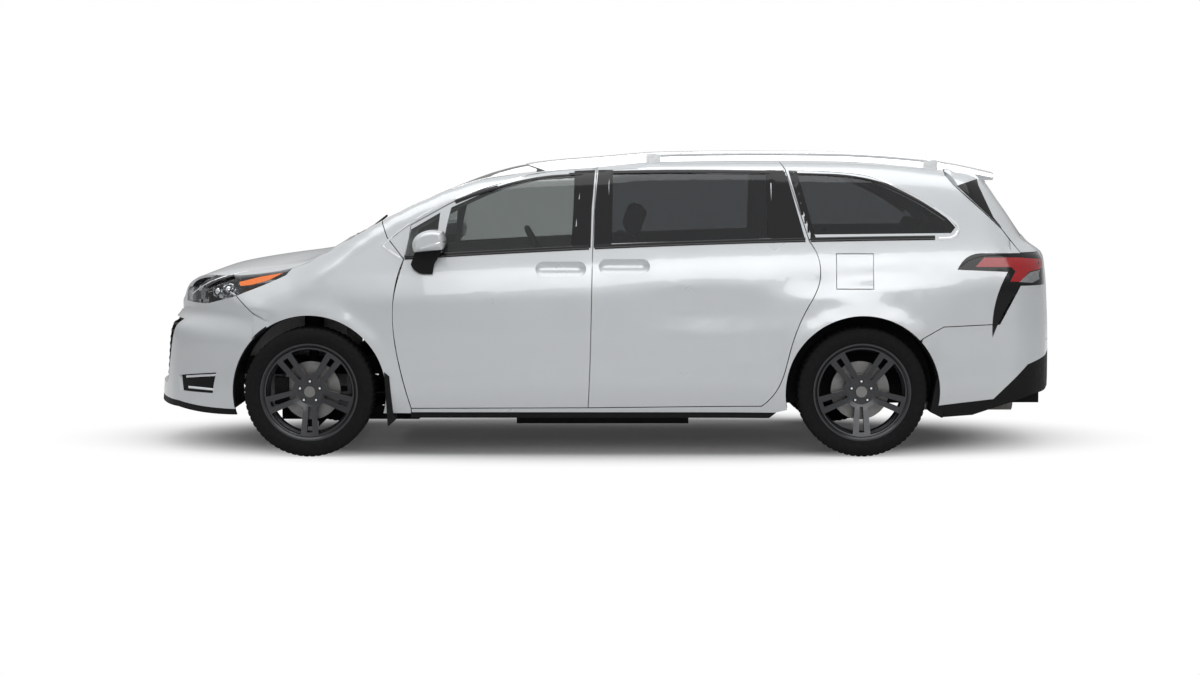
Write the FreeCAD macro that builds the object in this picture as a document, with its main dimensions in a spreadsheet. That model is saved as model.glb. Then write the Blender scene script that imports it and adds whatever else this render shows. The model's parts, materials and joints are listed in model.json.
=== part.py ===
import FreeCAD, Part
import math
import os
from FreeCAD import Placement, Rotation, Vector

# A seven-seat minivan at full size, in millimetres.
# The nose points to -X, the driver's side to -Y and +Z is up. The origin lies on the ground, under the
# middle of the car's length. Outlines seen from the side are read off the photograph in its pixels, and
# the wheelbase and the roof height turn them into real sizes.

SIZES = {
    # whole vehicle
    "overall_length": 5174.0,
    "body_width": 1994.0,
    "roof_height": 1692.0,
    "wheelbase": 3061.0,
    "front_overhang": 962.0,
    "wheel_track": 1722.0,
    # body form
    "roof_crown_radius": 3900.0,
    "screen_plan_radius": 1700.0,
    "nose_plan_radius": 1300.0,
    "tail_plan_radius": 2600.0,
    "hood_front_round": 45.0,
    "hood_base": 760.0,
    "hood_thickness": 14.0,
    "tail_edge_round": 60.0,
    "roof_side_round": 75.0,
    "fender_top_round": 170.0,
    "nose_corner_round": 330.0,
    "tail_corner_round": 190.0,
    "arch_radius": 427.0,
    "lip_height": 9.0,
    "lip_width": 85.0,
    "haunch_height": 26.0,
    "haunch_reach": 620.0,
    "haunch_edge": 70.0,
    "hollow_depth": 13.0,
    "hollow_length": 330.0,
    "hollow_drop": 105.0,
    # panels
    "sample_step": 62.0,
    "panel_gap": 5.0,
    "ditch_gap": 14.0,
    "panel_thickness": 26.0,
    "roof_thickness": 34.0,
    "door_thickness": 85.0,
    "door_seal_width": 42.0,
    "door_hinge_height": 560.0,
    "door_hinge_rise": 320.0,
    "frame_thickness": 48.0,
    "bumper_thickness": 30.0,
    "glass_thickness": 5.0,
    "glass_inset": 5.0,
    "cut_overrun": 40.0,
    "axis_height": 700.0,
    "nose_centre_height": 550.0,
    "tail_centre_height": 750.0,
    "seat_clearance": 0.3,
    # floor and inner body
    "floor_height": 330.0,
    "floor_thickness": 60.0,
    "floor_width": 1634.4,
    "bulkhead_thickness": 60.0,
    "liner_thickness": 6.0,
    # tyres and wheels
    "tyre_radius": 358.0,
    "tyre_width": 238.0,
    "tyre_wall": 13.0,
    "tread_round": 26.0,
    "bead_radius": 252.0,
    "flange_radius": 271.0,
    "flange_thickness": 9.0,
    "rim_width": 200.0,
    "rim_wall": 8.0,
    "drop_depth": 16.0,
    "face_depth": 34.0,
    "dish_depth": 46.0,
    "hub_face_radius": 72.0,
    "hub_bore_radius": 31.0,
    "lug_circle_diameter": 114.3,
    "lug_hole_radius": 11.0,
    "window_inner_radius": 96.0,
    "window_outer_radius": 240.0,
    "window_inner_width": 46.0,
    "window_outer_width": 196.0,
    "slot_inner_radius": 84.0,
    "slot_outer_radius": 224.0,
    "slot_inner_width": 18.0,
    "slot_outer_width": 30.0,
    # brakes, hubs and suspension
    "disc_radius": 163.0,
    "disc_thickness": 28.0,
    "hat_radius": 82.0,
    "hat_height": 38.0,
    "caliper_length": 150.0,
    "caliper_depth": 78.0,
    "caliper_gap": 6.0,
    "hub_spindle_radius": 30.0,
    "upright_radius": 62.0,
    "upright_length": 60.0,
    "kingpin_tilt": 12.0,
    "strut_radius": 27.0,
    "spring_radius": 55.0,
    "spring_height": 87.7,
    "arm_thickness": 30.0,
    "arm_width": 70.0,
    "subframe_width": 860.0,
    "subframe_length": 790.0,
    "subframe_lead": 220.0,
    "subframe_beam": 90.0,
    "subframe_height": 70.0,
    "rack_radius": 26.0,
    "shaft_radius": 16.0,
    "beam_radius": 42.0,
    "rear_arm_length": 430.0,
    "rear_spring_radius": 55.0,
    # engine, tank and exhaust
    "engine_length": 560.0,
    "engine_width": 900.0,
    "engine_height": 560.0,
    "tank_length": 980.0,
    "tank_width": 520.0,
    "tank_height": 130.0,
    "exhaust_radius": 28.0,
    "muffler_radius": 70.0,
    "muffler_length": 520.0,
    # inside
    "seat_width": 520.0,
    "seat_depth": 520.0,
    "seat_base_height": 150.0,
    "seat_back_height": 640.0,
    "seat_back_thickness": 130.0,
    "seat_back_tilt": 20.0,
    "headrest_width": 270.0,
    "headrest_height": 170.0,
    "headrest_thickness": 100.0,
    "headrest_gap": 20.0,
    "headrest_stem": 20.0,
    "seat_leg_height": 190.0,
    "rear_leg_height": 50.0,
    "bench_width": 1240.0,
    "dash_depth": 480.0,
    "dash_height": 420.0,
    "steering_wheel_radius": 185.0,
    "steering_rim_radius": 15.0,
    "column_radius": 30.0,
    "column_length": 330.0,
    "column_tilt": 27.0,
    # mirrors, handles, rails and flaps
    "mirror_reach": 235.0,
    "rail_radius": 13.0,
    "rail_spread": 1330.0,
    "rail_foot_width": 40.0,
    "flap_width": 150.0,
    "spoiler_length": 300.0,
    "tailgate_thickness": 38.0,
    "lamp_depth": 45.0,
    "kingpin_offset": 115.0,
    "ball_drop": 170.0,
    "strut_length": 330.0,
    "steering_arm_length": 190.0,
    "caliper_width": 84.0,
    "shaft_length": 245.0,
    "ball_gap": 8.0,
    "rear_beam_length": 1240.0,
    "rear_floor_height": 560.0,
    "cargo_well_x": 1960.0,
    "rail_beam_width": 70.0,
    "rail_beam_height": 100.0,
    "rail_beam_base": 420.0,
    "rail_beam_spread": 970.0,
    "bumper_beam_x": -2320.0,
    "bumper_beam_depth": 40.0,
    "bumper_beam_width": 1040.0,
    "bulkhead_height": 700.0,
    "floor_inset": 60.0,
    "rear_floor_width": 1300.0,
    "front_liner_depth": 385.0,
    "rear_liner_depth": 260.0,
    "engine_shift": -122.0,
    "tank_shift": 300.0,
    "exhaust_length": 3150.0,
    "exhaust_shift": 250.0,
    "seat_spread": 800.0,
    "front_seat_x": -330.0,
    "middle_seat_x": 560.0,
    "rear_seat_x": 1420.0,
    "dash_width": 1500.0,
    "dash_base": 620.0,
    "mirror_gap": 30.0,
    "recess_radius": 62.0,
    "recess_depth": 17.0,
    "handle_reach": 27.0,
    "handle_radius": 10.5,
    "slat_height": 11.0,
    "grille_frame": 16.0,
    "grille_rib": 12.0,
    "wiper_radius": 6.0,
    "wiper_height": 12.0,
    "wiper_pivot_radius": 13.0,
    "wiper_pivot_height": 36.0,
    "grille_depth": 20.0,
    "lid_knuckle_length": 15.0,
    "lid_knuckle_inset": 6.5,
    "hinge_thickness": 20.0,
    "hinge_spread": 900.0,
    "rail_rise": 42.0,
}

# The photograph: hubs and level of the eye, which is as high as the roof.
FRONT_HUB_pixels = (308.8, 391.2)
REAR_HUB_pixels = (862.4, 391.2)
VIEW_CENTRE_pixel = 600.0
HORIZON_pixel = 150.0
GROUND_pixel = 456.0

# Distance from the eye of each plane of the car, as a share of the distance of the hubs.
SKIN_depth_share = 0.996
BELT_depth_share = 1.0
GLASS_depth_share = 1.008
ROOF_depth_share = 1.019
CENTRE_depth_share = 1.0715

doc = FreeCAD.newDocument("Minivan")
sheet = doc.addObject("Spreadsheet::Sheet", "Sizes")
for row, (alias, size) in enumerate(SIZES.items(), start=1):
    sheet.set("A%d" % row, alias)
    sheet.set("B%d" % row, str(size))
    sheet.setAlias("B%d" % row, alias)
doc.recompute()


def size(alias):
    """A driving dimension, read from the sheet."""
    return float(sheet.get(alias))


half_length = size("overall_length") / 2
half_width = size("body_width") / 2
front_axle_x = size("front_overhang") - half_length
rear_axle_x = front_axle_x + size("wheelbase")
axle_z = size("tyre_radius")
hub_y = size("wheel_track") / 2
scale_x = size("wheelbase") / (REAR_HUB_pixels[0] - FRONT_HUB_pixels[0])
scale_z = size("roof_height") / (GROUND_pixel - HORIZON_pixel)
view_x = front_axle_x - (FRONT_HUB_pixels[0] - VIEW_CENTRE_pixel) * scale_x
overrun = size("cut_overrun")
gap = size("panel_gap")
outside_y = -half_width - size("mirror_reach")


def place_x(pixel, depth_share):
    return view_x + (pixel - VIEW_CENTRE_pixel) * scale_x * depth_share


def place_z(pixel, depth_share):
    return size("roof_height") - (pixel - HORIZON_pixel) * scale_z * depth_share


def seen(points, depth_share):
    """Pixels of the side view as points (x, z) in a plane of the car."""
    return [(place_x(px, depth_share), place_z(py, depth_share)) for px, py in points]


CURVE_STEPS = 400
HIT_STEPS = 40
HIT_TOLERANCE = 0.001


class Curve:
    """A smooth curve through a few points that never overshoots them."""

    def __init__(self, points):
        self.xs = [p[0] for p in points]
        self.ys = [p[1] for p in points]
        steps = [b - a for a, b in zip(self.xs, self.xs[1:])]
        slopes = [(b - a) / step for a, b, step in zip(self.ys, self.ys[1:], steps)]
        self.tangents = [slopes[0]]
        for i in range(1, len(slopes)):
            if slopes[i - 1] * slopes[i] <= 0:
                self.tangents.append(0.0)
            else:
                w1 = 2 * steps[i] + steps[i - 1]
                w2 = steps[i] + 2 * steps[i - 1]
                self.tangents.append((w1 + w2) / (w1 / slopes[i - 1] + w2 / slopes[i]))
        self.tangents.append(slopes[-1])
        self.start = self.xs[0]
        self.step = (self.xs[-1] - self.xs[0]) / CURVE_STEPS
        self.samples = [self.exact(self.start + self.step * i) for i in range(CURVE_STEPS + 1)]

    def exact(self, x):
        i = 0
        while i < len(self.xs) - 2 and x > self.xs[i + 1]:
            i += 1
        run = self.xs[i + 1] - self.xs[i]
        t = (x - self.xs[i]) / run
        a = (1 + 2 * t) * (1 - t) ** 2
        b = t * (1 - t) ** 2
        c = t * t * (3 - 2 * t)
        d = t * t * (t - 1)
        return (a * self.ys[i] + b * run * self.tangents[i]
                + c * self.ys[i + 1] + d * run * self.tangents[i + 1])

    def __call__(self, x):
        at = (x - self.start) / self.step
        if at <= 0:
            return self.samples[0] + self.tangents[0] * (x - self.xs[0])
        if at >= len(self.samples) - 1:
            return self.samples[-1] + self.tangents[-1] * (x - self.xs[-1])
        i = int(at)
        return self.samples[i] + (at - i) * (self.samples[i + 1] - self.samples[i])

    def slope(self, x):
        return (self(x + self.step) - self(x - self.step)) / (2 * self.step)


def smooth_step(t):
    t = min(1.0, max(0.0, t))
    return t * t * (3 - 2 * t)


def round_max(a, b, radius):
    """The larger of two distances, with the edge between them rounded."""
    if a > -radius and b > -radius:
        return math.hypot(a + radius, b + radius) - radius
    return max(a, b)


# Centre line of the car: hood, windscreen and roof from above, nose and tail from the ends.
TOP_LINE_pixels = [
    (184, 303), (190, 289), (200, 280), (220, 268.5), (240, 261), (270, 255), (300, 250.5),
    (330, 246.5), (350, 242), (370, 232), (400, 215), (430, 199), (460, 184.5), (490, 172),
    (520, 164), (550, 159.5), (600, 155.5), (660, 151), (740, 150), (820, 150.5), (870, 153),
    (910, 157), (950, 163), (985, 170.5), (1040, 183),
]
NOSE_pixels = [
    (169.5, 430), (165.5, 404), (166.8, 385), (169, 350), (171, 326), (176, 314), (186, 306),
    (188.5, 296), (189.5, 270),
]
TAIL_pixels = [
    (990, 421), (1030, 402), (1037.5, 392), (1040, 370), (1040, 345), (1038, 285), (1035.5, 258),
    (1031, 245), (1021, 239), (1010, 226), (1000, 211), (990, 197), (980, 183), (972, 170),
    (966, 150),
]
top_line = Curve(seen(TOP_LINE_pixels, CENTRE_depth_share))
nose_line = Curve([(z, x) for x, z in seen(NOSE_pixels, CENTRE_depth_share)])
tail_line = Curve([(z, x) for x, z in seen(TAIL_pixels, CENTRE_depth_share)])

# Half width along the car, and how far the side leans in from it: below the belt over the height of
# the belt, and above it over the height from the belt to the roof.
PLAN_shares = [
    (-0.5, 0.900), (-0.44, 0.934), (-0.36, 0.958), (-0.24, 0.968), (-0.1, 0.972), (0.1, 0.977),
    (0.26, 0.984), (0.36, 0.976), (0.44, 0.952), (0.5, 0.925),
]
plan = Curve([(x * size("overall_length"), y * half_width) for x, y in PLAN_shares])
LOWER_SECTION_shares = [
    (0.10, -0.075), (0.19, -0.040), (0.26, -0.020), (0.36, -0.006), (0.45, -0.008), (0.60, 0.0),
    (0.76, -0.001), (0.88, -0.014), (0.96, -0.034), (1.0, -0.050),
]
UPPER_SECTION_shares = [
    (0.0, -0.050), (0.10, -0.066), (0.30, -0.101), (0.60, -0.164), (0.85, -0.229), (1.0, -0.276),
    (1.15, -0.33),
]
lower_section = Curve(LOWER_SECTION_shares)
upper_section = Curve(UPPER_SECTION_shares)
BELT_pixels = [(230, 262), (403, 258.6), (580, 249.2), (809, 240.7), (946, 238.2), (1035, 237.5)]
belt_line = Curve(seen(BELT_pixels, BELT_depth_share))
CREASE_pixels = [(600, 305), (740, 291), (820, 283), (874, 277), (956, 272), (1035, 268)]
crease_line = Curve(seen(CREASE_pixels, SKIN_depth_share))
HOLLOW_pixels = (705, 312)
hollow_x, hollow_z = seen([HOLLOW_pixels], SKIN_depth_share)[0]
HAUNCH_POWER = 4
NOSE_ROUND_share = 1.4
FENDER_ROUND_share = 1.3
edge_round = Curve([
    (-half_length, size("nose_corner_round")),
    (front_axle_x - size("arch_radius") * NOSE_ROUND_share, size("nose_corner_round")),
    (front_axle_x, size("fender_top_round")),
    (front_axle_x + size("arch_radius") * FENDER_ROUND_share, size("roof_side_round")),
    (rear_axle_x + size("arch_radius"), size("roof_side_round")),
    (half_length, size("tail_corner_round")),
])


def side_at(x, z):
    """Half width of the body at a place in the side view, with its lips, haunch and hollow."""
    belt = belt_line(x)
    if z < belt:
        lean = lower_section(z / belt)
    else:
        lean = upper_section((z - belt) / (size_roof_height - belt))
    y = plan(x) + lean * half_width
    for axle_x in (front_axle_x, rear_axle_x):
        reach = math.hypot(x - axle_x, z - axle_z)
        rise = (reach - size_arch_radius) / size_lip_width
        if rise < 1:
            y += size_lip_height * smooth_step(1 - max(0.0, rise))
    if x > 0:
        reach = math.hypot(x - rear_axle_x, z - axle_z) / size_haunch_reach
        below = smooth_step((crease_line(x) - z) / size_haunch_edge)
        y += size_haunch_height * math.exp(-reach ** HAUNCH_POWER) * below
        away = ((x - hollow_x) / size_hollow_length) ** 2 + ((z - hollow_z) / size_hollow_drop) ** 2
        y -= size_hollow_depth * math.exp(-away)
    return y


size_roof_height = size("roof_height")
size_arch_radius = size("arch_radius")
size_lip_width = size("lip_width")
size_lip_height = size("lip_height")
size_haunch_height = size("haunch_height")
size_haunch_reach = size("haunch_reach")
size_haunch_edge = size("haunch_edge")
size_hollow_depth = size("hollow_depth")
size_hollow_length = size("hollow_length")
size_hollow_drop = size("hollow_drop")
screen_bow = 1 / (2 * size("screen_plan_radius"))
roof_crown = 1 / (2 * size("roof_crown_radius"))
nose_bow = 1 / (2 * size("nose_plan_radius"))
tail_bow = 1 / (2 * size("tail_plan_radius"))
hood_front_round = size("hood_front_round")
tail_edge_round = size("tail_edge_round")
screen_end_x = place_x(600, CENTRE_depth_share)
screen_top_x = place_x(480, CENTRE_depth_share)
roof_end_x = place_x(860, CENTRE_depth_share)


def form(x, y, z):
    """Distance outside the car's closed outer form, below zero inside."""
    y = abs(y)
    bow = screen_bow * smooth_step((screen_end_x - x) / (screen_end_x - screen_top_x))
    bow -= tail_bow * smooth_step((x - roof_end_x) / (half_length - roof_end_x))
    along = x + bow * y * y
    slope = top_line.slope(along)
    over = (z + roof_crown * y * y - top_line(along)) / math.sqrt(1 + slope * slope)
    nose_slope = nose_line.slope(z)
    ahead = (nose_line(z) + nose_bow * y * y - x) / math.sqrt(1 + nose_slope * nose_slope)
    tail_slope = tail_line.slope(z)
    behind = (x - tail_line(z) + tail_bow * y * y) / math.sqrt(1 + tail_slope * tail_slope)
    ends = round_max(over, ahead, hood_front_round)
    ends = round_max(ends, behind, tail_edge_round)
    return round_max(y - side_at(x, z), ends, edge_round(x))


def hit(origin, direction, depth, far):
    """Where a ray from inside meets the form, or the form shrunk by a depth."""
    ox, oy, oz = origin
    dx, dy, dz = direction
    near = 0.0
    low = form(ox, oy, oz) + depth
    high = form(ox + dx * far, oy + dy * far, oz + dz * far) + depth
    reach = far
    for _ in range(HIT_STEPS):
        reach = (near * high - far * low) / (high - low)
        if not near < reach < far:
            reach = (near + far) / 2
        value = form(ox + dx * reach, oy + dy * reach, oz + dz * reach) + depth
        if abs(value) < HIT_TOLERANCE:
            break
        if value < 0:
            near, low = reach, value
            high /= 2
        else:
            far, high = reach, value
            low /= 2
    return Vector(ox + dx * reach, oy + dy * reach, oz + dz * reach)


RAY_share = 1.3
DOME_RAY_share = 0.45
SLAB_ROWS = 6
side_reach = half_width * RAY_share
end_reach = size("overall_length") * DOME_RAY_share
nose_centre = (front_axle_x, 0.0, size("nose_centre_height"))
tail_centre = (rear_axle_x, 0.0, size("tail_centre_height"))


def spread(start, end, unit=1.0):
    """Evenly spaced values from start to end, about one sample step apart."""
    count = max(SLAB_ROWS, int(math.ceil(abs(end - start) * unit / size("sample_step"))))
    return [start + (end - start) * i / count for i in range(count + 1)]


def closed_slab(outer, inner):
    """A solid between two grids of points."""
    faces = []
    surfaces = []
    for grid in (outer, inner):
        surface = Part.BSplineSurface()
        surface.interpolate(grid)
        surfaces.append(surface)
        faces.append(surface.toShape())
    a, b = surfaces
    edges = [
        (a.uIso(0), b.uIso(0)), (a.uIso(1), b.uIso(1)),
        (a.vIso(0), b.vIso(0)), (a.vIso(1), b.vIso(1)),
    ]
    for one, other in edges:
        faces.append(Part.makeRuledSurface(one.toShape(), other.toShape()))
    shell = Part.makeShell(faces)
    shell.sewShape()
    solid = Part.makeSolid(shell)
    if solid.Volume < 0:
        solid.reverse()
    return solid


def around(span, depth_share, outer_depth, inner_depth):
    """A slab of the car's side and top, from rays across the car; angle 0 points to the side."""
    start_pixel, end_pixel, low_angle, high_angle = span
    x0, x1 = place_x(start_pixel, depth_share), place_x(end_pixel, depth_share)
    angles = spread(math.radians(low_angle), math.radians(high_angle), half_width)
    grids = []
    for depth in (outer_depth, inner_depth):
        grid = []
        for x in spread(x0, x1):
            row = []
            for angle in angles:
                direction = (0.0, -math.cos(angle), math.sin(angle))
                limit = depth(x, angle) if callable(depth) else depth
                row.append(hit((x, 0.0, size("axis_height")), direction, limit, side_reach))
            grid.append(row)
        grids.append(grid)
    return closed_slab(grids[0], grids[1])


def dome(centre, span, outer_depth, inner_depth):
    """A slab of an end of the car, from rays out of a point inside; angle 0 points to +X."""
    start_angle, end_angle, low, high = span
    turns = spread(start_angle, end_angle, math.radians(1) * half_width)
    rises = spread(low, high, math.radians(1) * half_width)
    grids = []
    for depth in (outer_depth, inner_depth):
        grid = []
        for rise in rises:
            lift = math.tan(math.radians(rise))
            row = []
            for turn in turns:
                angle = math.radians(turn)
                row.append(hit(centre, (math.cos(angle), math.sin(angle), lift), depth, end_reach))
            grid.append(row)
        grids.append(grid)
    return closed_slab(grids[0], grids[1])


def curve_through(points):
    curve = Part.BSplineCurve()
    curve.interpolate(points)
    return curve


def grown_runs(start, runs, growth):
    """An outline moved outward by growth, or inward where growth is negative."""
    corners = [Vector(start[0], start[1], 0)]
    spans = []
    for run in runs:
        spans.append([corners[-1]] + [Vector(p[0], p[1], 0) for p in run])
        corners.append(spans[-1][-1])
    if corners[-1].distanceToPoint(corners[0]) > size("seat_clearance"):
        spans.append([corners[-1], corners[0]])
    area = sum(a.x * b.y - b.x * a.y for span in spans for a, b in zip(span, span[1:]))
    side = growth if area > 0 else -growth
    normals = []
    for span in spans:
        if len(span) == 2:
            ways = [span[1] - span[0]] * 2
        else:
            curve = curve_through(span)
            ways = [curve.tangent(curve.parameter(p))[0] for p in span]
        normals.append([Vector(way.y, -way.x, 0).normalize() for way in ways])
    moved = []
    for i, span in enumerate(spans):
        points = [p + n * side for p, n in zip(span, normals[i])]
        before, after = normals[i - 1][-1], normals[(i + 1) % len(spans)][0]
        first, last = normals[i][0], normals[i][-1]
        points[0] = span[0] + (before + first) * (side / (1 + before.dot(first)))
        points[-1] = span[-1] + (after + last) * (side / (1 + after.dot(last)))
        moved.append(points)
    return moved


def outline_wire(start, runs, point, growth):
    """An outline in space, grown or shrunk first."""
    edges = []
    for span in grown_runs(start, runs, growth):
        through = [point(p.x, p.y) for p in span]
        if len(through) == 2:
            edges.append(Part.LineSegment(through[0], through[1]).toShape())
        else:
            edges.append(curve_through(through).toShape())
    return Part.Wire(edges)


def prism(start, runs, point, way, growth):
    """The space swept by an outline along a way."""
    return Part.Face(outline_wire(start, runs, point, growth)).extrude(way)


def pipe(points, radius):
    """A round bar bent through a few points."""
    path = Part.Wire([curve_through(points).toShape()])
    circle = Part.Wire([Part.makeCircle(radius, points[0], points[1] - points[0])])
    return path.makePipeShell([circle], True, True)


def seen_prism(outline, depth_share, growth=0.0, y0=None, y1=0.0):
    """The space behind an outline in the side view, from the left."""
    start = seen([outline[0]], depth_share)[0]
    runs = [seen(run, depth_share) for run in outline[1:]]
    y0 = outside_y if y0 is None else y0
    return prism(start, runs, lambda x, z: Vector(x, y0, z), Vector(0, y1 - y0, 0), growth)


def plan_prism(outline, growth=0.0):
    """The space below an outline seen from above, given in shares of the length and half width."""
    def real(point):
        return (point[0] * size("overall_length"), point[1] * half_width)
    runs = [[real(p) for p in run] for run in outline[1:]]
    way = Vector(0, 0, size("roof_height") * 2)
    return prism(real(outline[0]), runs, lambda x, y: Vector(x, y, 0), way, growth)


def mirrored(shape):
    return shape.mirror(Vector(0, 0, 0), Vector(0, 1, 0))


def both(shape):
    """A piece of the left side with its twin on the right."""
    return Part.makeCompound([shape, mirrored(shape)])


def solid_of(shape):
    """The largest solid of a boolean's result."""
    solids = sorted(shape.Solids, key=lambda s: s.Volume)
    return solids[-1]


nodes = {}
trims = []


def feature(name, shape, label=None):
    made = doc.addObject("Part::Feature", name)
    made.Shape = shape
    made.Placement = Placement()
    made.Label = label or name
    nodes[made.Label] = made
    return made


def arch_cylinder(axle_x, radius, y0, y1):
    return Part.makeCylinder(radius, y1 - y0, Vector(axle_x, y0, axle_z), Vector(0, 1, 0))


def wheel_space(axle_x):
    return arch_cylinder(axle_x, size("arch_radius"), outside_y, -outside_y)


def box_between(x0, x1, y0, y1, z0, z1):
    return Part.makeBox(x1 - x0, y1 - y0, z1 - z0, Vector(x0, y0, z0))


# Seams of the panels, in pixels of the side view: a start, then runs, each a line or a curve.
FRONT_DOOR_pixels = [
    (409.8, 224.5), [(403, 258.6), (393, 297), (394.5, 345), (410, 408.6)], [(588, 408)],
    [(591.5, 300), (592.8, 245.6), (597, 168.5)], [(560, 170.5), (520, 176.5), (480, 189.5), (447, 204)],
]
SLIDING_DOOR_pixels = [
    (597, 168.5), [(592.8, 245.6), (591.5, 300), (588, 408)], [(762.4, 406)],
    [(780.8, 383), (791, 348.4), (807.3, 307.6), (819.2, 283), (819.6, 261), (810, 241)],
    [(787.3, 168.7)], [(779.3, 156)], [(598, 156)],
]
FRONT_HANDLE_pixels = (535.4, 585.9, 266.6)
SLIDING_HANDLE_pixels = (598.8, 649.8, 264.2)
HANDLE_shares = [
    (0.04, -0.15), (0.10, 0.45), (0.25, 0.93), (0.5, 1.0), (0.75, 0.93), (0.90, 0.45), (0.96, -0.15),
]
FRONT_WINDOW_pixels = [
    (452, 206.5), [(447.5, 225), (443, 253)], [(574, 244.5)], [(578, 206), (582, 173.5)],
    [(540, 176), (500, 185)],
]
CORNER_WINDOW_pixels = [(441, 211.5), [(412.5, 228)], [(406.5, 255.5)], [(437, 252.5)]]
SLIDING_WINDOW_pixels = [(609.5, 171.5), [(607.9, 242)], [(771.3, 236.5)], [(769.7, 173.5)]]
QUARTER_WINDOW_pixels = [
    (791, 172), [(808.8, 233)], [(948, 231.5)], [(952.5, 226)], [(936, 209.5), (866.6, 177.5), (830, 173)],
]
LAMP_pixels = [
    (160, 305), [(200, 304.7)], [(230.9, 295.8), (282.6, 275.1)], [(292.9, 263)],
    [(239.5, 267.4), (208.5, 276.8), (189, 290)], [(160, 292)],
]
BUMPER_pixels = [
    (120, 305), [(200, 304.7)], [(232.7, 295.8)], [(264.5, 325)], [(300, 391)], [(234, 410)],
    [(200, 409.5), (167, 406)], [(120, 405.5)],
]
FENDER_pixels = [
    (232.7, 295.8), [(282.6, 275.1)], [(292.9, 263)], [(300, 200)], [(372, 200)], [(386, 237)],
    [(403, 258.6)], [(393, 297), (394.5, 345), (410, 408.6)], [(410, 414)], [(392, 414)], [(300, 414)],
    [(264.5, 325)],
]
SIDE_pixels = [
    (386, 237), [(372, 200)], [(470, 130)], [(949, 130)], [(949.6, 174.8)], [(956.8, 184.3)],
    [(1004, 228.4)], [(1022.9, 252.5)], [(1060, 253)], [(1060, 284.7)], [(1021.6, 284.7)], [(1001, 323.6)],
    [(944, 326)], [(922.7, 337.8)],
    [(862, 391)], [(776, 413)], [(410, 413)], [(410, 408.6)], [(394.5, 345), (393, 297), (403, 258.6)],
]
REAR_BUMPER_pixels = [
    (1070, 284.7), [(1021.6, 284.7)], [(1001, 323.6)], [(944, 326)], [(922.7, 337.8)], [(900, 391)],
    [(940, 405.5)], [(996, 399.6)], [(1031, 365)], [(1070, 352.4)],
]
REAR_VALANCE_pixels = [
    (1070, 352.4), [(1031, 365)], [(996, 399.6)], [(940, 405.5)], [(944, 417)], [(975, 415)], [(1036, 395)],
    [(1070, 390)],
]
FRONT_LIP_pixels = [
    (120, 405.5), [(167, 406)], [(200, 409.5), (234, 410)], [(234, 415)], [(200, 415), (167, 411.5)], [(120, 411)],
]
SILL_TRIM_pixels = [(410, 413), [(776, 413)], [(770, 418)], [(410, 418)]]
TAIL_LAMP_pixels = [
    (958.4, 268.5), [(968.6, 256.5), (984.9, 253)], [(1070, 253)], [(1070, 285)], [(1021.6, 284.7)],
    [(1003.3, 313.7), (994, 335)], [(996, 305), (1009.4, 270.8)],
]
FUEL_LID_pixels = [(836.5, 253), [(836.5, 288)], [(873.5, 288)], [(873.5, 253)]]
RAIL_pixels = (646, 700, 780, 860, 900, 936)
FRONT_FLAP_pixels = [(383.3, 371.5), [(388.5, 375.8)], [(392, 414.6)], [(394.5, 419.8)], [(386.8, 426.7)]]
REAR_FLAP_pixels = [(939, 372.9), [(944, 377)], [(944, 418)], [(931.8, 412)]]
MIRROR_pixels = [
    (418, 250), [(419, 234), (430, 227.8), (446, 229)], [(448.5, 238), (446, 247)],
]
MIRROR_shares = [(0.0, -0.10), (0.12, -0.02), (0.35, 0.0), (0.75, -0.01), (0.93, -0.05), (1.0, -0.12)]
MIRROR_FOOT_pixels = [
    (419, 245), [(413, 262)], [(417, 268), (424.4, 271.6)], [(434.3, 271.6)], [(436, 262.4)], [(445, 246)],
]

# Seams seen from above, in shares of the length and of the half width.
HOOD_shares = [
    (-0.476, 0.0), [(-0.4715, -0.25), (-0.455, -0.47), (-0.415, -0.68), (-0.334, -0.80), (-0.255, -0.815)],
    [(-0.276, -0.5), (-0.290, 0.0), (-0.276, 0.5), (-0.255, 0.815)],
    [(-0.334, 0.80), (-0.415, 0.68), (-0.455, 0.47), (-0.4715, 0.25), (-0.476, 0.0)],
]
COWL_shares = [
    (-0.290, 0.0), [(-0.276, -0.5), (-0.255, -0.80)], [(-0.237, -0.79)], [(-0.2545, -0.5), (-0.2685, 0.0)],
    [(-0.2545, 0.5), (-0.237, 0.79)], [(-0.255, 0.80)], [(-0.276, 0.5), (-0.290, 0.0)],
]
SCREEN_shares = [
    (-0.276, 0.0), [(-0.262, -0.5), (-0.2435, -0.80)], [(-0.15, -0.74), (-0.062, -0.69)],
    [(-0.079, -0.4), (-0.087, 0.0), (-0.079, 0.4), (-0.062, 0.69)], [(-0.15, 0.74), (-0.2435, 0.80)],
    [(-0.262, 0.5), (-0.276, 0.0)],
]
ROOF_shares = [
    (-0.062, 0.69), [(-0.079, 0.4), (-0.087, 0.0), (-0.079, -0.4), (-0.062, -0.69)],
    [(0.0, -0.674), (0.2, -0.672), (0.38, -0.640)], [(0.38, 0.640)], [(0.2, 0.672), (0.0, 0.674), (-0.062, 0.69)],
]
SIDE_TOP_shares = [
    (-0.26, -0.82), [(-0.2435, -0.80)], [(-0.15, -0.74), (-0.062, -0.69)],
    [(0.0, -0.674), (0.2, -0.672), (0.38, -0.640)],
    [(0.46, -0.59)], [(0.46, -0.72)], [(0.6, -0.72)], [(0.6, -1.3)], [(-0.26, -1.3)],
]

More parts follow.
